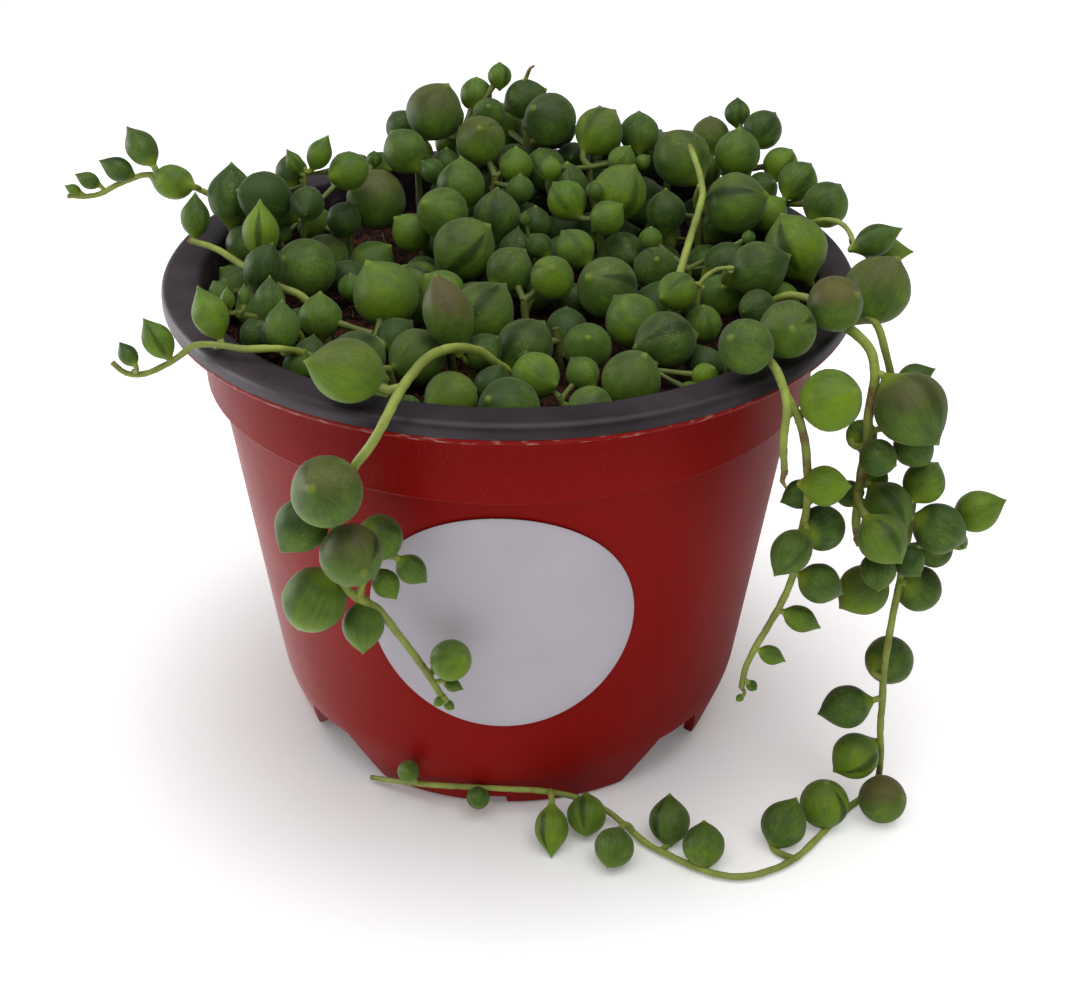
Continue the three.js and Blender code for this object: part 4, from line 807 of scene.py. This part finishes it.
def revolve(name, line, parts, segments):  # a closed turned body; parts gives each stretch's material
    points, faces, looks, rings = [], [], [], []
    angles = [2 * math.pi * i / segments for i in range(segments)]
    for radius, height in line:
        first = len(points)
        if radius < 1e-6:
            rings.append([first] * segments)
            points.append((0, 0, height))
        else:
            rings.append(list(range(first, first + segments)))
            points += [(radius * math.cos(angle), radius * math.sin(angle), height) for angle in angles]
    for low, high, part in zip(rings[:-1], rings[1:], parts[1:]):
        for i in range(segments):
            j = (i + 1) % segments
            face = list(dict.fromkeys((low[i], low[j], high[j], high[i])))
            if len(face) > 2:
                faces.append(face)
                looks.append(part)
    piece = addPiece(name, points, (), faces)
    piece.data.polygons.foreach_set("material_index", looks)
    return piece


def archOutline(width, topWidth, height):  # sloped ends that round into a flat top
    ends = []
    for t in np.linspace(0, 1, potFine["archSteps"]):
        bend = topWidth / 2 + (width - topWidth) / 2 * (1 - t) ** 2 - 0.3 * t
        ends.append((bend, height * (1 - (1 - t) ** 2) if width > topWidth else height * t))
    return [(width / 2, -1), *ends, *[(-across, up) for across, up in reversed(ends)], (-width / 2, -1)]


def cutShapes():  # the arches in the foot and the drain holes, as one cutter
    cutter = bmesh.new()
    for degrees, *size in potArches:
        turn = Matrix.Rotation(math.radians(degrees), 3, "Z")
        inside, outside = ([cutter.verts.new(turn @ Vector((reach, across, up)) * mm)
                            for across, up in archOutline(*size)]
                           for reach in (p["ringInner"] - 4, p["footRadius"] * 1.5))
        cutter.faces.new(reversed(inside))
        cutter.faces.new(outside)
        for i in range(len(inside)):
            cutter.faces.new((inside[i - 1], inside[i], outside[i], outside[i - 1]))
    radius = potHoles["radius"] * mm
    for i in range(potHoles["count"]):
        angle = 2 * math.pi * i / potHoles["count"]
        spot = Vector((math.cos(angle), math.sin(angle), 0)) * potHoles["circle"] * mm
        bmesh.ops.create_cone(
            cutter, cap_ends=True, segments=potHoles["segments"], radius1=radius, radius2=radius,
            depth=4 * p["floorHeight"] * mm, matrix=Matrix.Translation(spot))
    mesh = bpy.data.meshes.new("potCutter")
    cutter.to_mesh(mesh)
    cutter.free()
    return linkObject("potCutter", mesh)


def makePot():
    lipBottom = p["height"] - p["lipDrop"]
    f = potFine
    pad, collar = p["padRadius"] - f["dipIn"], p["collarRadius"] - f["collarIn"]
    dip = pad + p["padSlope"]
    outside = [
        (0, 0, 0), (p["padRadius"], 0, 0.6), (dip + f["dipIn"], p["channelHeight"], 0.5),
        (p["ringTop"], p["channelHeight"], 0.5), (p["ringInner"], 0, 0.4), (p["footRadius"], 0, 0.8),
        (p["heelRadius"], p["heelHeight"], 2.4), (p["shoulderRadius"], p["shoulderHeight"], 0.35),
        (collar, p["collarFoot"], 0.35), (p["collarRadius"], lipBottom, 0.25),
        (p["lipRadius"] - f["collarIn"], lipBottom, 0.35), (p["lipRadius"], lipBottom + f["skirt"], 0.3),
        (p["lipRadius"], lipBottom + f["colourEdge"], 0),
    ]
    inside = [
        (p["lipRadius"], p["height"], 1.25), (p["lipInner"], p["height"], 1.2),
        (collar - p["wall"], p["collarFoot"], 0.6),
        (p["shoulderRadius"] - p["wall"], p["shoulderHeight"] - f["innerStep"], 0.4),
        (p["heelRadius"] - p["wall"], p["floorHeight"], 0.5), (dip, p["floorHeight"], 0.4),
        (pad, p["wall"], 0.3), (0, p["wall"], 0),
    ]
    corners = [(*corner, part) for part, side in enumerate((outside, inside)) for corner in side]
    pot = revolve("nurseryPot", *roundedProfile(corners, f["cornerSteps"]), f["segments"])
    pot.data.materials.append(redPlastic)
    pot.data.materials.append(blackPlastic)
    cutter = cutShapes()
    cut = pot.modifiers.new("cut", "BOOLEAN")
    cut.operation, cut.solver, cut.object = "DIFFERENCE", "MANIFOLD", cutter
    keepResult(pot)
    bpy.data.objects.remove(cutter)
    smoothFaces(pot)
    pot.data.set_sharp_from_angle(angle=math.radians(f["sharpFrom"]))
    place(pot, ["pot"])


makePot()

# Label
labelSize = {"radius": 19, "turn": -0.5, "height": 37, "thickness": 0.16, "gap": 0.2, "rings": 12,
             "segments": 128, "edge": (0.06, 0.05, 0.08)}


def ringsOut(radius, height, rings):
    return [(radius * i / rings, height) for i in range(rings)]


def bendOnWall(across, up, lift, values):
    rise, widening = p["shoulderHeight"] - p["heelHeight"], p["shoulderRadius"] - p["heelRadius"]
    height = values["height"] + up * math.cos(math.atan2(widening, rise))
    radius = p["heelRadius"] + widening * ((height - p["heelHeight"]) / rise) + values["gap"] + lift
    angle = -math.pi / 2 + (across + values["turn"]) / radius
    return radius * math.cos(angle), radius * math.sin(angle), height


def finishTurned(piece, material, slotName):
    piece.data.materials.append(material)
    shape = bmesh.new()
    shape.from_mesh(piece.data)
    bmesh.ops.remove_doubles(shape, verts=shape.verts, dist=1e-7)
    bmesh.ops.recalc_face_normals(shape, faces=shape.faces)
    shape.to_mesh(piece.data)
    shape.free()
    smoothFaces(piece)
    place(piece, [slotName])


def makeLabel(values):  # a round sheet: back, rounded edge and face, bent round the wall
    rim, thick = values["radius"], values["thickness"]
    back, side, face = values["edge"]
    edge = [(rim - back, 0), (rim, side), (rim, thick - side), (rim - face, thick)]
    section = ringsOut(rim, 0, values["rings"]) + edge + ringsOut(rim, thick, values["rings"])[::-1]
    label = revolve("labelSheet", section, [0] * len(section), values["segments"])
    for vertex in label.data.vertices:
        vertex.co = Vector(bendOnWall(*(value / mm for value in vertex.co), values)) * mm
    finishTurned(label, paperLabel, "label")


makeLabel(labelSize)

# Peat
peatSize = {"segments": 120, "rings": 46, "relief": 1.1, "sink": 0.4, "lumpSize": 0.35,
            "lumps": (0.8, 2.1, 4), "air": 0.3, "padIn": 1.1, "topIn": 0.3,
            "shoulderIn": (0.3, 0.7), "collarIn": (0.5, 0.6),
            "flatRim": 0.2}
scattering = {"bedArea": 0.0060, "reach": 41.5, "depth": 2, "turn": (6.28, 6.28, 6.28),
              "smallest": (0.3, 0.3, 0.25), "largest": (1.2, 1.0, 0.8)}
crumbs = {"Count": 4500, "Size": 0.8 * mm, "Seed": 4}
fibres = {"Count": 520, "Size": 3.6 * mm, "Seed": 9}


def makePeat(values):
    air = values["air"]
    bottom, pad = p["wall"] + air, p["padRadius"] - values["padIn"]
    top = p["collarRadius"] - values["topIn"] - p["wall"] - air
    (shoulderIn, shoulderDown), (collarIn, collarUp) = values["shoulderIn"], values["collarIn"]
    wall = [(p["heelRadius"], p["floorHeight"] + air),
            (p["shoulderRadius"] - shoulderIn, p["shoulderHeight"] - shoulderDown),
            (p["collarRadius"] - collarIn, p["collarFoot"] + collarUp)]
    wall = [(radius - p["wall"] - air, height) for radius, height in wall]
    section = [(0, bottom), (pad, bottom), (pad + p["padSlope"], wall[0][1]), *wall]
    section += [(top * i / values["rings"], growth["soilTop"]) for i in reversed(range(values["rings"] + 1))]
    peat = revolve("peatBed", section, [0] * len(section), values["segments"])
    for vertex in peat.data.vertices:
        x, y, z = vertex.co / mm
        if z > growth["soilTop"] - 0.1 and math.hypot(x, y) < top - values["flatRim"]:
            lump = noise.fractal(Vector((x, y, 3)) * values["lumpSize"], *values["lumps"])
            vertex.co.z += (lump * values["relief"] - values["sink"]) * mm
    finishTurned(peat, peatMaterial, "soil")
    return peat


def crumbShape():
    return node("GeometryNodeMeshIcoSphere", {"Radius": 0.5, "Subdivisions": 1}, "Mesh")


def fibreShape():
    ends = {"Resolution": 6, "Start": (-0.5, 0, 0), "Middle": (0.1, 0.5, 0.1), "End": (0.5, 0, 0)}
    ring = node("GeometryNodeCurvePrimitiveCircle", {"Resolution": 5, "Radius": 0.022}, "Curve")
    line = node("GeometryNodeCurveQuadraticBezier", ends)
    return node("GeometryNodeCurveToMesh", {"Curve": line, "Profile Curve": ring, "Fill Caps": True})


def anyVector(low, high):
    return node("FunctionNodeRandomValue", {0: low, 1: high}, data_type="FLOAT_VECTOR")


def scatterTree(name, makeShape, values):  # small pieces thrown over the peat
    start, end = geometryTree(name, values)
    density = start["Count"] / scattering["bedArea"]
    bed = {"Mesh": start["Geometry"], "Density": density, "Seed": start["Seed"]}
    many = node("GeometryNodeDistributePointsOnFaces", bed, "Points")
    turn = node("FunctionNodeEulerToRotation", {0: anyVector((0, 0, 0), scattering["turn"])})
    size = vecCalc("SCALE", anyVector(scattering["smallest"], scattering["largest"]), start["Size"])
    return finishTree(node("GeometryNodeInstanceOnPoints", {
        "Points": many, "Instance": makeShape(), "Rotation": turn, "Scale": size}), start, end)


def scatter(name, makeShape, values, material):
    tree = scatterTree(name, makeShape, values)
    top = bmesh.new()
    top.from_mesh(peatBed.data)
    lowest, reach = (growth["soilTop"] - scattering["depth"]) * mm, scattering["reach"] * mm
    middles = {face: face.calc_center_median() for face in top.faces}
    hidden = [face for face, at in middles.items() if at.z < lowest or math.hypot(*at.xy) > reach]
    bmesh.ops.delete(top, geom=hidden, context="FACES")
    mesh = bpy.data.meshes.new(name)
    top.to_mesh(mesh)
    top.free()
    piece = linkObject(name, mesh)
    grow(piece, tree, {**values, "Material": material})
    place(piece)


peatBed = makePeat(peatSize)
scatter("peatCrumbs", crumbShape, crumbs, crumbMaterial)
scatter("coirFibres", fibreShape, fibres, fibreMaterial)

# Leaves
leafShape = {"Segments": 30, "Rings": 22, "Tip Width": 0.76, "Spike": 0.1, "Base Width": 0.62,
             "Base Length": 0.3, "Taper": 0.2, "Unevenness": 0.05}
smallShape = {**leafShape, "Segments": 18, "Rings": 12}
leafEnds = {"tipPower": 1.6, "tipLength": 0.75, "spikeWidth": 0.24, "spikePower": 1.3, "basePower": 2.2,
            "taper": 2.2, "lumpScale": 1.1, "ground": 0.00002}
fillerLeaves = {"count": 120, "tries": 16000, "smallest": 2.4, "largest": 4.6, "bareX": -12, "bareY": 13,
                "viewer": (4.2, -248.8, 180), "coverWithin": 7, "roofShare": 0.4, "roofDrop": 1.2,
                "air": 1.02, "sightAir": 1.1, "stemNear": 0.9, "stemReach": 4.5, "paintedShadeShare": 0.75,
                "neckSteps": 5, "neckRadius": 0.3}


def leafTree(values):  # every point becomes a leaf of its own size, stretch, point and turn
    start, end = geometryTree("pearlLeaves", values)
    where = node("GeometryNodeInputPosition")
    rings = {"Segments": start["Segments"], "Rings": start["Rings"], "Radius": 1.0}
    ball = store(node("GeometryNodeMeshUVSphere", rings, "Mesh"), "leafPlace", where)
    points = store(start["Geometry"], "leafCentre", where)
    many = node("GeometryNodeInstanceOnPoints", {"Points": points, "Instance": ball})
    whole = node("GeometryNodeRealizeInstances", {0: many})
    onBall = named("leafPlace")
    x, y, z = split(onBall)
    size, stretch, point = split(named("leafShape"))
    fromAxis = calc("SQRT", calc("MAXIMUM", 1.0 - z * z, 0.0))
    upper = calc("GREATER_THAN", z, 0.0)

    def cusp(width, power):
        return calc("POWER", calc("MAXIMUM", 1.0 - fromAxis / width, 0.0), power)
    tip = cusp(start["Tip Width"], leafEnds["tipPower"]) * (point * leafEnds["tipLength"])
    tip = (tip + cusp(leafEnds["spikeWidth"], leafEnds["spikePower"]) * start["Spike"]) * upper
    base = cusp(start["Base Width"], leafEnds["basePower"]) * start["Base Length"]
    base = base * (stretch * 2.0 - 1.0) * (1.0 - upper)
    narrowing = calc("POWER", calc("MAXIMUM", z, 0.0), 2.0) * start["Taper"]
    narrowing = 1.0 - narrowing * (point * leafEnds["taper"])
    lumps = {"Vector": onBall, "W": named("leafSeed", "FLOAT"), "Scale": leafEnds["lumpScale"], "Detail": 1.0}
    lumps = node("ShaderNodeTexNoise", lumps, noise_dimensions="4D")
    uneven = (lumps - 0.5) * (start["Unevenness"] * 2.0) + 1.0
    across = narrowing * uneven
    along = z * stretch + (tip - base)
    local = node("ShaderNodeCombineXYZ", {0: x * across, 1: y * across, 2: along * uneven})
    turn = node("FunctionNodeEulerToRotation", {0: named("leafTurn")})
    turned = node("FunctionNodeRotateVector", {0: vecCalc("SCALE", local, size), 1: turn})
    target = vecCalc("ADD", named("leafCentre"), turned)
    target = vecCalc("MAXIMUM", target, (-1.0, -1.0, leafEnds["ground"]))  # nothing dips below the ground
    return finishTree(node("GeometryNodeSetPosition", {"Geometry": whole, "Position": target}), start, end)


def leafTurn(leaf):  # the leaf's Z axis is its tip, and its Y axis faces the side with the dark stripe
    word, tip = leaf["look"].partition("-")[2], leaf["tip"]
    side = direction(word) if word else unit(np.array([draw(-0.9, 0.9), draw(-1.1, 0.2), 0.8]))
    side = unit(side - tip * np.dot(side, tip) + np.array([1e-4, 2e-4, 0]))
    return tuple(Matrix((np.cross(side, tip), side, tip)).transposed().to_euler())


# What the first letters of a leaf's look mean: tone from dark (0) to lime (1), blush, stripe.
leafLooks = {"l": (0.8, 0.1, 0.2), "d": (0.12, 0.1, 0.5), "b": (0.4, 0.66, 0.5), "o": (0.5, 1.25, 0.2),
             "s": (0.45, 0.25, 1.0), "h": (0.72, 0.1, 0.9), "m": (0.45, 0.1, 0.3), "y": (0.66, 0.5, 0.0)}
leafVariety = {"tone": (0.15, 0.7), "blush": (0, 0.4), "stripe": (0, 0.8), "near": (-0.04, 0.04),
               "blushFrom": 1.5, "blushOver": 3, "stretch": 0.8, "blunt": 0.17, "point": 0.9,
               "pointMost": 0.4, "olivePointMost": 0.15, "pointChange": (-0.03, 0.05)}
pearls = leafTree(leafShape)


def leafPiece(name, leaves, nodes=(), shape=leafShape):
    looks, shapes, v = [], [], leafVariety
    for leaf in leaves:
        big = min(max((leaf["radius"] - v["blushFrom"]) / v["blushOver"], 0), 1)
        tone, blush, stripe = draw(*v["tone"]), draw(*v["blush"]) * big, draw(*v["stripe"])
        letter, mark, _ = leaf["look"].partition("-")
        if letter:
            tone, blush, stripe = (value + draw(*v["near"]) * (value > 0) for value in leafLooks[letter])
        looks.append((tone, blush, max(stripe, 1.0 if mark else 0)))
        extra = leaf["stretch"] - 1
        pointed = min(max(0.0, extra * v["point"]), v["olivePointMost" if letter == "o" else "pointMost"])
        pointed = v["blunt"] + pointed + draw(*v["pointChange"])
        shapes.append((leaf["radius"] * mm, 1 + extra * v["stretch"], pointed))
    piece = addPiece(name, [leaf["at"] for leaf in leaves], leafShape=shapes, leafLook=looks,
                     leafTurn=[leafTurn(leaf) for leaf in leaves], leafSeed=[draw(0, 50) for leaf in leaves])
    grow(piece, pearls, {**shape, "Material": leafMaterial})
    place(piece, nodes)


def findFillers(values):  # small leaves in the room that is left under the mound, each within reach of a stem
    centres = np.array([leaf["at"] for leaf in everyLeaf])
    reach = np.array([leaf["radius"] * (1 + 0.6 * (leaf["stretch"] - 1)) for leaf in everyLeaf])
    stems = np.vstack([stem["samples"] for stem in strandStems + tufts])
    viewer = np.array(values["viewer"])
    away = np.linalg.norm(centres - viewer, axis=1)
    sight, width = (centres - viewer) / away[:, None], reach / away
    found = []
    for _ in range(values["tries"]):
        if len(found) == values["count"]:
            break
        radius = draw(values["smallest"], values["largest"])
        angle, share = draw(0, 2 * math.pi), draw()
        spot = np.array([math.cos(angle), math.sin(angle), 0]) * math.sqrt(share)
        spot *= p["lipInner"] - radius - 1
        near = np.linalg.norm(centres[:, :2] - spot[:2], axis=1) < values["coverWithin"]
        if not near.any():
            continue
        roof = (centres[near, 2] + reach[near] * values["roofShare"]).max()
        floor = growth["soilTop"] + growth["soilRelief"] + radius
        spot[2] = draw(floor, max(floor + 0.1, roof - radius * values["roofDrop"]))
        bare = spot[0] < values["bareX"] and spot[1] > values["bareY"]
        clear = np.linalg.norm(centres - spot, axis=1) > reach + radius * values["air"]
        toStem = np.linalg.norm(stems - spot, axis=1)
        inReach = radius * values["stemNear"] < toStem.min() < radius + values["stemReach"]
        far = np.linalg.norm(spot - viewer)
        apart = np.linalg.norm(sight - (spot - viewer) / far, axis=1)
        hides = (far < away) & (apart < width * values["sightAir"])  # covers a leaf that the photo shows
        if bare or hides.any() or not clear.all() or not inReach:
            continue
        start = stems[np.argmin(toStem)]
        tip = unit(spot - start + np.array([draw(-3, 3), draw(-3, 3), draw(0, 3)]))
        # most small leaves deep in the mound take the dark look: painted shade
        look = "d" if draw() < values["paintedShadeShare"] else ""
        found.append({"at": spot, "radius": radius, "tip": tip, "stretch": draw(1.0, 1.2), "look": look,
                      "from": start})
        centres = np.vstack([centres, spot])
        reach = np.append(reach, radius)
    return found


# Stems and the short necks of the leaves
stemShape = {"Sides": 12, "Knobs": 0.16}
stemLine = {"step": 0.8, "neckSteps": 9, "endTaper": 0.27, "lumps": 620.0, "scarStrength": 1.6}
neckShape = {"outside": 1.2, "inside": 0.85, "straightFrom": 1.3, "bend": 0.45, "lowest": 0.75,
             "thickness": (0.22, 0.075, 0.24, 0.5), "flare": (0.9, 0.3, 0.5)}
scars = [  # brown places on the stems: x, y, z, reach
    (48.9, -31, 68, 3.2), (48.2, -31.6, 57, 2.4), (48.4, -31.6, 47, 2.2), (56.2, -29.8, 4, 2.6),
    (26.2, 11.8, 87.4, 1.1), (-45.8, -2, 77.4, 1.3), (36.3, -41, 62, 2.6), (39.5, -38.4, 62, 1.8),
    (62.9, -28.4, 45.4, 1.6), (-20.5, -28.5, 1.2, 1.2), (55.4, -25.2, 60, 1.6), (33.3, -38, 25.6, 1.5),
    (-66.3, 12, 78.5, 1.0), (-51.9, -30, 71.7, 1.0), (-11.3, -45.6, 34.8, 1.2), (38.6, -39, 66.6, 1.5),
    (2.6, 36.6, 91, 2.4), (36.3, -41.2, 60.6, 1.6), (63, -28.3, 44.4, 1.6),
]
smallEnds = [  # a dry style, the front leaf's neck and three torn ends: points, first and last radius
    ([(1.2, 36.6, 87.6), (2.1, 36.6, 89.8), (2.4, 36.6, 90.6), (2.6, 36.6, 91), (3.2, 36.6, 91.4)],
     0.36, 0.12),
    ([(-16.2, -44.8, 76.4), (-14.2, -45.0, 75.6), (-12.3, -45.2, 76.4)], 0.7, 0.45),
    ([(36.3, -41, 62.6), (36.0, -41.2, 61.0), (36.6, -41.3, 60.0)], 0.5, 0.16),
    ([(48.6, -31.5, 48), (48.2, -31.7, 46.4), (48.7, -31.6, 45.2)], 0.4, 0.14),
    ([(62.6, -28.5, 46), (63.2, -28.3, 44.8), (63.0, -28.2, 43.9)], 0.4, 0.14),
]


def stemTree(values):
    start, end = geometryTree("plantStems", values)
    line = node("GeometryNodeMeshToCurve", {0: start["Geometry"]})
    ring = node("GeometryNodeCurvePrimitiveCircle", {"Resolution": start["Sides"], "Radius": 1.0}, "Curve")
    tube = node("GeometryNodeCurveToMesh", {
        "Curve": line, "Profile Curve": ring, "Scale": named("stemRadius", "FLOAT"), "Fill Caps": True})
    lumps = cloud(node("GeometryNodeInputPosition"), stemLine["lumps"], 2.0)
    height = (lumps - 0.5) * (start["Knobs"] * 0.002)
    offset = vecCalc("SCALE", node("GeometryNodeInputNormal"), height)
    return finishTree(node("GeometryNodeSetPosition", {"Geometry": tube, "Offset": offset}), start, end)


tubes = stemTree(stemShape)


def scarAt(points):
    amount = np.zeros(len(points))
    for *middle, reach in scars:
        amount = np.maximum(amount, 1 - np.linalg.norm(np.asarray(points) - middle, axis=1) / reach)
    return np.clip(amount * stemLine["scarStrength"], 0, 1)


def curveLines(stems):  # points along each stem, thinner towards its end
    lines = []
    for curve, radius in [(curve, stem["radius"]) for stem in stems for curve in stem["curves"]]:
        count = max(4, math.ceil(curve.length / stemLine["step"]))
        thin = 1 - stemLine["endTaper"] * np.linspace(0, 1, count + 1) ** 2
        lines.append((curve.spaced(count), radius * thin))
    return lines


def neckLine(leaf, stem):
    length = leaf["tip"] * leaf["radius"] * leaf["stretch"]
    base, inside = leaf["at"] - length * neckShape["outside"], leaf["at"] - length * neckShape["inside"]
    start = nearestOn(stem, base)
    away = np.linalg.norm(start - base)
    if leaf["stem"] is None and away > leaf["radius"] * neckShape["straightFrom"]:
        start, inside = straightNeck(leaf, stem)
        bend = (start + inside) / 2
    else:
        bend = base - leaf["tip"] * neckShape["bend"] * away
    shares = np.linspace(0, 1, stemLine["neckSteps"])[:, None]
    points = (1 - shares) ** 2 * start + 2 * shares * (1 - shares) * bend + shares**2 * inside
    points[:, 2] = np.maximum(points[:, 2], neckShape["lowest"])
    thinnest, growing, least, most = neckShape["thickness"]
    middle, first, last = neckShape["flare"]
    flare = first * (1 - shares[:, 0]) ** 2 + last * shares[:, 0] ** 3
    return points, np.clip(thinnest + growing * leaf["radius"], least, most) * (middle + flare)


def linesPiece(name, lines, material, nodes=()):
    points, edges, radii = [], [], []
    for line, radius in lines:
        edges.extend((i, i + 1) for i in range(len(points), len(points) + len(line) - 1))
        points.extend(line)
        radii.extend(radius)
    piece = addPiece(name, points, edges, stemRadius=np.array(radii) * mm, stemScar=scarAt(points))
    grow(piece, tubes, {**stemShape, "Material": material})
    place(piece, nodes)


# The plant's pieces
strandNames, tuftNames = ([stem["name"] for stem in stems] for stems in (strandStems, tufts))
leafPiece("trailingLeaves", strandLeaves, strandNames)
leafPiece("moundLeaves", shownLeaves, tuftNames)

stemOf = {stem["name"]: stem for stem in strandStems}
trailLines = curveLines(strandStems) + [neckLine(leaf, stemOf[leaf["stem"]]) for leaf in strandLeaves]
trailLines += [(np.array(points), np.linspace(first, last, len(points))) for points, first, last in smallEnds]
linesPiece("trailingStems", trailLines, stemMaterial, strandNames)
moundLines = curveLines(tufts) + [neckLine(leaf, leaf["stalk"]) for leaf in shownLeaves]
linesPiece("moundStems", moundLines, shadedStem, tuftNames)

fillers = findFillers(fillerLeaves)
leafPiece("smallLeaves", fillers, shape=smallShape)
steps = fillerLeaves["neckSteps"]
fillerLines = [(np.linspace(leaf["from"], leaf["at"], steps), np.full(steps, fillerLeaves["neckRadius"]))
               for leaf in fillers]
linesPiece("smallNecks", fillerLines, shadedStem)
print("plant ready:", len(fillers), "small leaves in the mound")

# Floor, light and camera
view = {"place": (4.21, -248.79, 179.99), "target": (4.21, 0, 33.56), "roll": 0.53,
        "frameWidth": 1073, "focalPixels": 1846.55, "sensor": 36.0}
lights = {  # place, target, size, power, and the rays that leave the light out
    "topSoftbox": ((0.0, -0.15, 0.9), (0, 0, 0.03), (1.1, 1.1), 8.2, ""),
    "frontFill": ((0.05, -0.75, 0.14), (0, 0, 0.04), (0.9, 0.3), 0.55, "glossy"),
    "leftPanel": ((-0.6, 0.12, 0.16), (0, 0, 0.05), (0.5, 0.3), 3.0, "diffuse"),  # the sheen on the left
}
studio = {"floorSize": 12.0, "back": 0.25, "side": 0.1, "front": 0.25, "glow": 0.1, "farGlow": 0.42,
          "glowCentre": (-0.002, -0.012, 0), "glowFrom": 0.026, "glowTo": 0.08, "sheen": 1.1,
          "sheenTo": -0.05, "floorDepth": -0.05}
white = (1, 1, 1, 1)


def makeFloor():
    half = studio["floorSize"] / 2 / mm
    corners = [(x * half, y * half, studio["floorDepth"]) for x, y in ((-1, -1), (1, -1), (1, 1), (-1, 1))]
    floor = addPiece("paleFloor", corners, (), [(0, 1, 2, 3)])
    material, shader, where = startMaterial("whiteFloor", Roughness=0.8, Emission_Color=white)
    soft = remap(cloud(where, 3.0, 2.0), 0.3, 0.7)
    seen, mirrored = (node("ShaderNodeLightPath", out=ray) for ray in ("Is Camera Ray", "Is Glossy Ray"))
    away = vecCalc("DISTANCE", where, studio["glowCentre"])
    glow = ease(away, studio["glowFrom"], studio["glowTo"], studio["glow"], studio["farGlow"])
    # mirrored on the left of the pot alone
    sheen = mirrored * ease(split(where)[0], 0.0, studio["sheenTo"], 0.0, studio["sheen"])
    colour = mix(soft, (0.9, 0.9, 0.9, 1), (0.92, 0.92, 0.92, 1))
    setInputs(shader, {"Base Color": colour, "Emission Strength": seen * glow + sheen})
    floor.data.materials.append(material)


def aim(spot, target):
    return (Vector(target) - Vector(spot)).to_track_quat("-Z", "Y")


def makeCamera():
    data = bpy.data.cameras.new("photoView")
    camera = linkObject("photoView", data)
    data.sensor_fit = "HORIZONTAL"
    data.sensor_width = view["sensor"]
    data.lens = view["focalPixels"] / view["frameWidth"] * view["sensor"]
    data.clip_start = 0.01
    spot, target = Vector(view["place"]) * mm, Vector(view["target"]) * mm
    roll = Matrix.Rotation(math.radians(view["roll"]), 4, "Z")
    camera.matrix_world = Matrix.Translation(spot) @ aim(spot, target).to_matrix().to_4x4() @ roll
    bpy.context.scene.camera = camera


def makeLight(name, spot, target, size, power, unseen):
    data = bpy.data.lights.new(name, "AREA")
    data.shape = "RECTANGLE"
    data.size, data.size_y = size
    data.energy = power
    light = linkObject(name, data)
    light.location = spot
    light.rotation_euler = aim(spot, target).to_euler()
    if unseen:
        setattr(light, "visible_" + unseen, False)


def makeWorld():
    world = bpy.data.worlds.new("paleRoom")
    bpy.context.scene.world = world
    world.use_nodes = True
    state["tree"] = world.node_tree
    x, y, z = split(node("ShaderNodeTexCoord", out="Generated"))
    behind = ease(y, -0.35, 0.55, studio["front"], studio["back"])
    left = ease(x, 0.3, -0.9, 0.0, studio["side"])
    seen = node("ShaderNodeLightPath", out="Is Camera Ray")  # white past the floor
    setInputs(world.node_tree.nodes["Background"], {"Color": white, "Strength": behind + left + seen})


makeFloor()
makeCamera()
makeWorld()
for name, values in lights.items():
    makeLight(name, *values)
bpy.context.scene.view_settings.view_transform = "Standard"
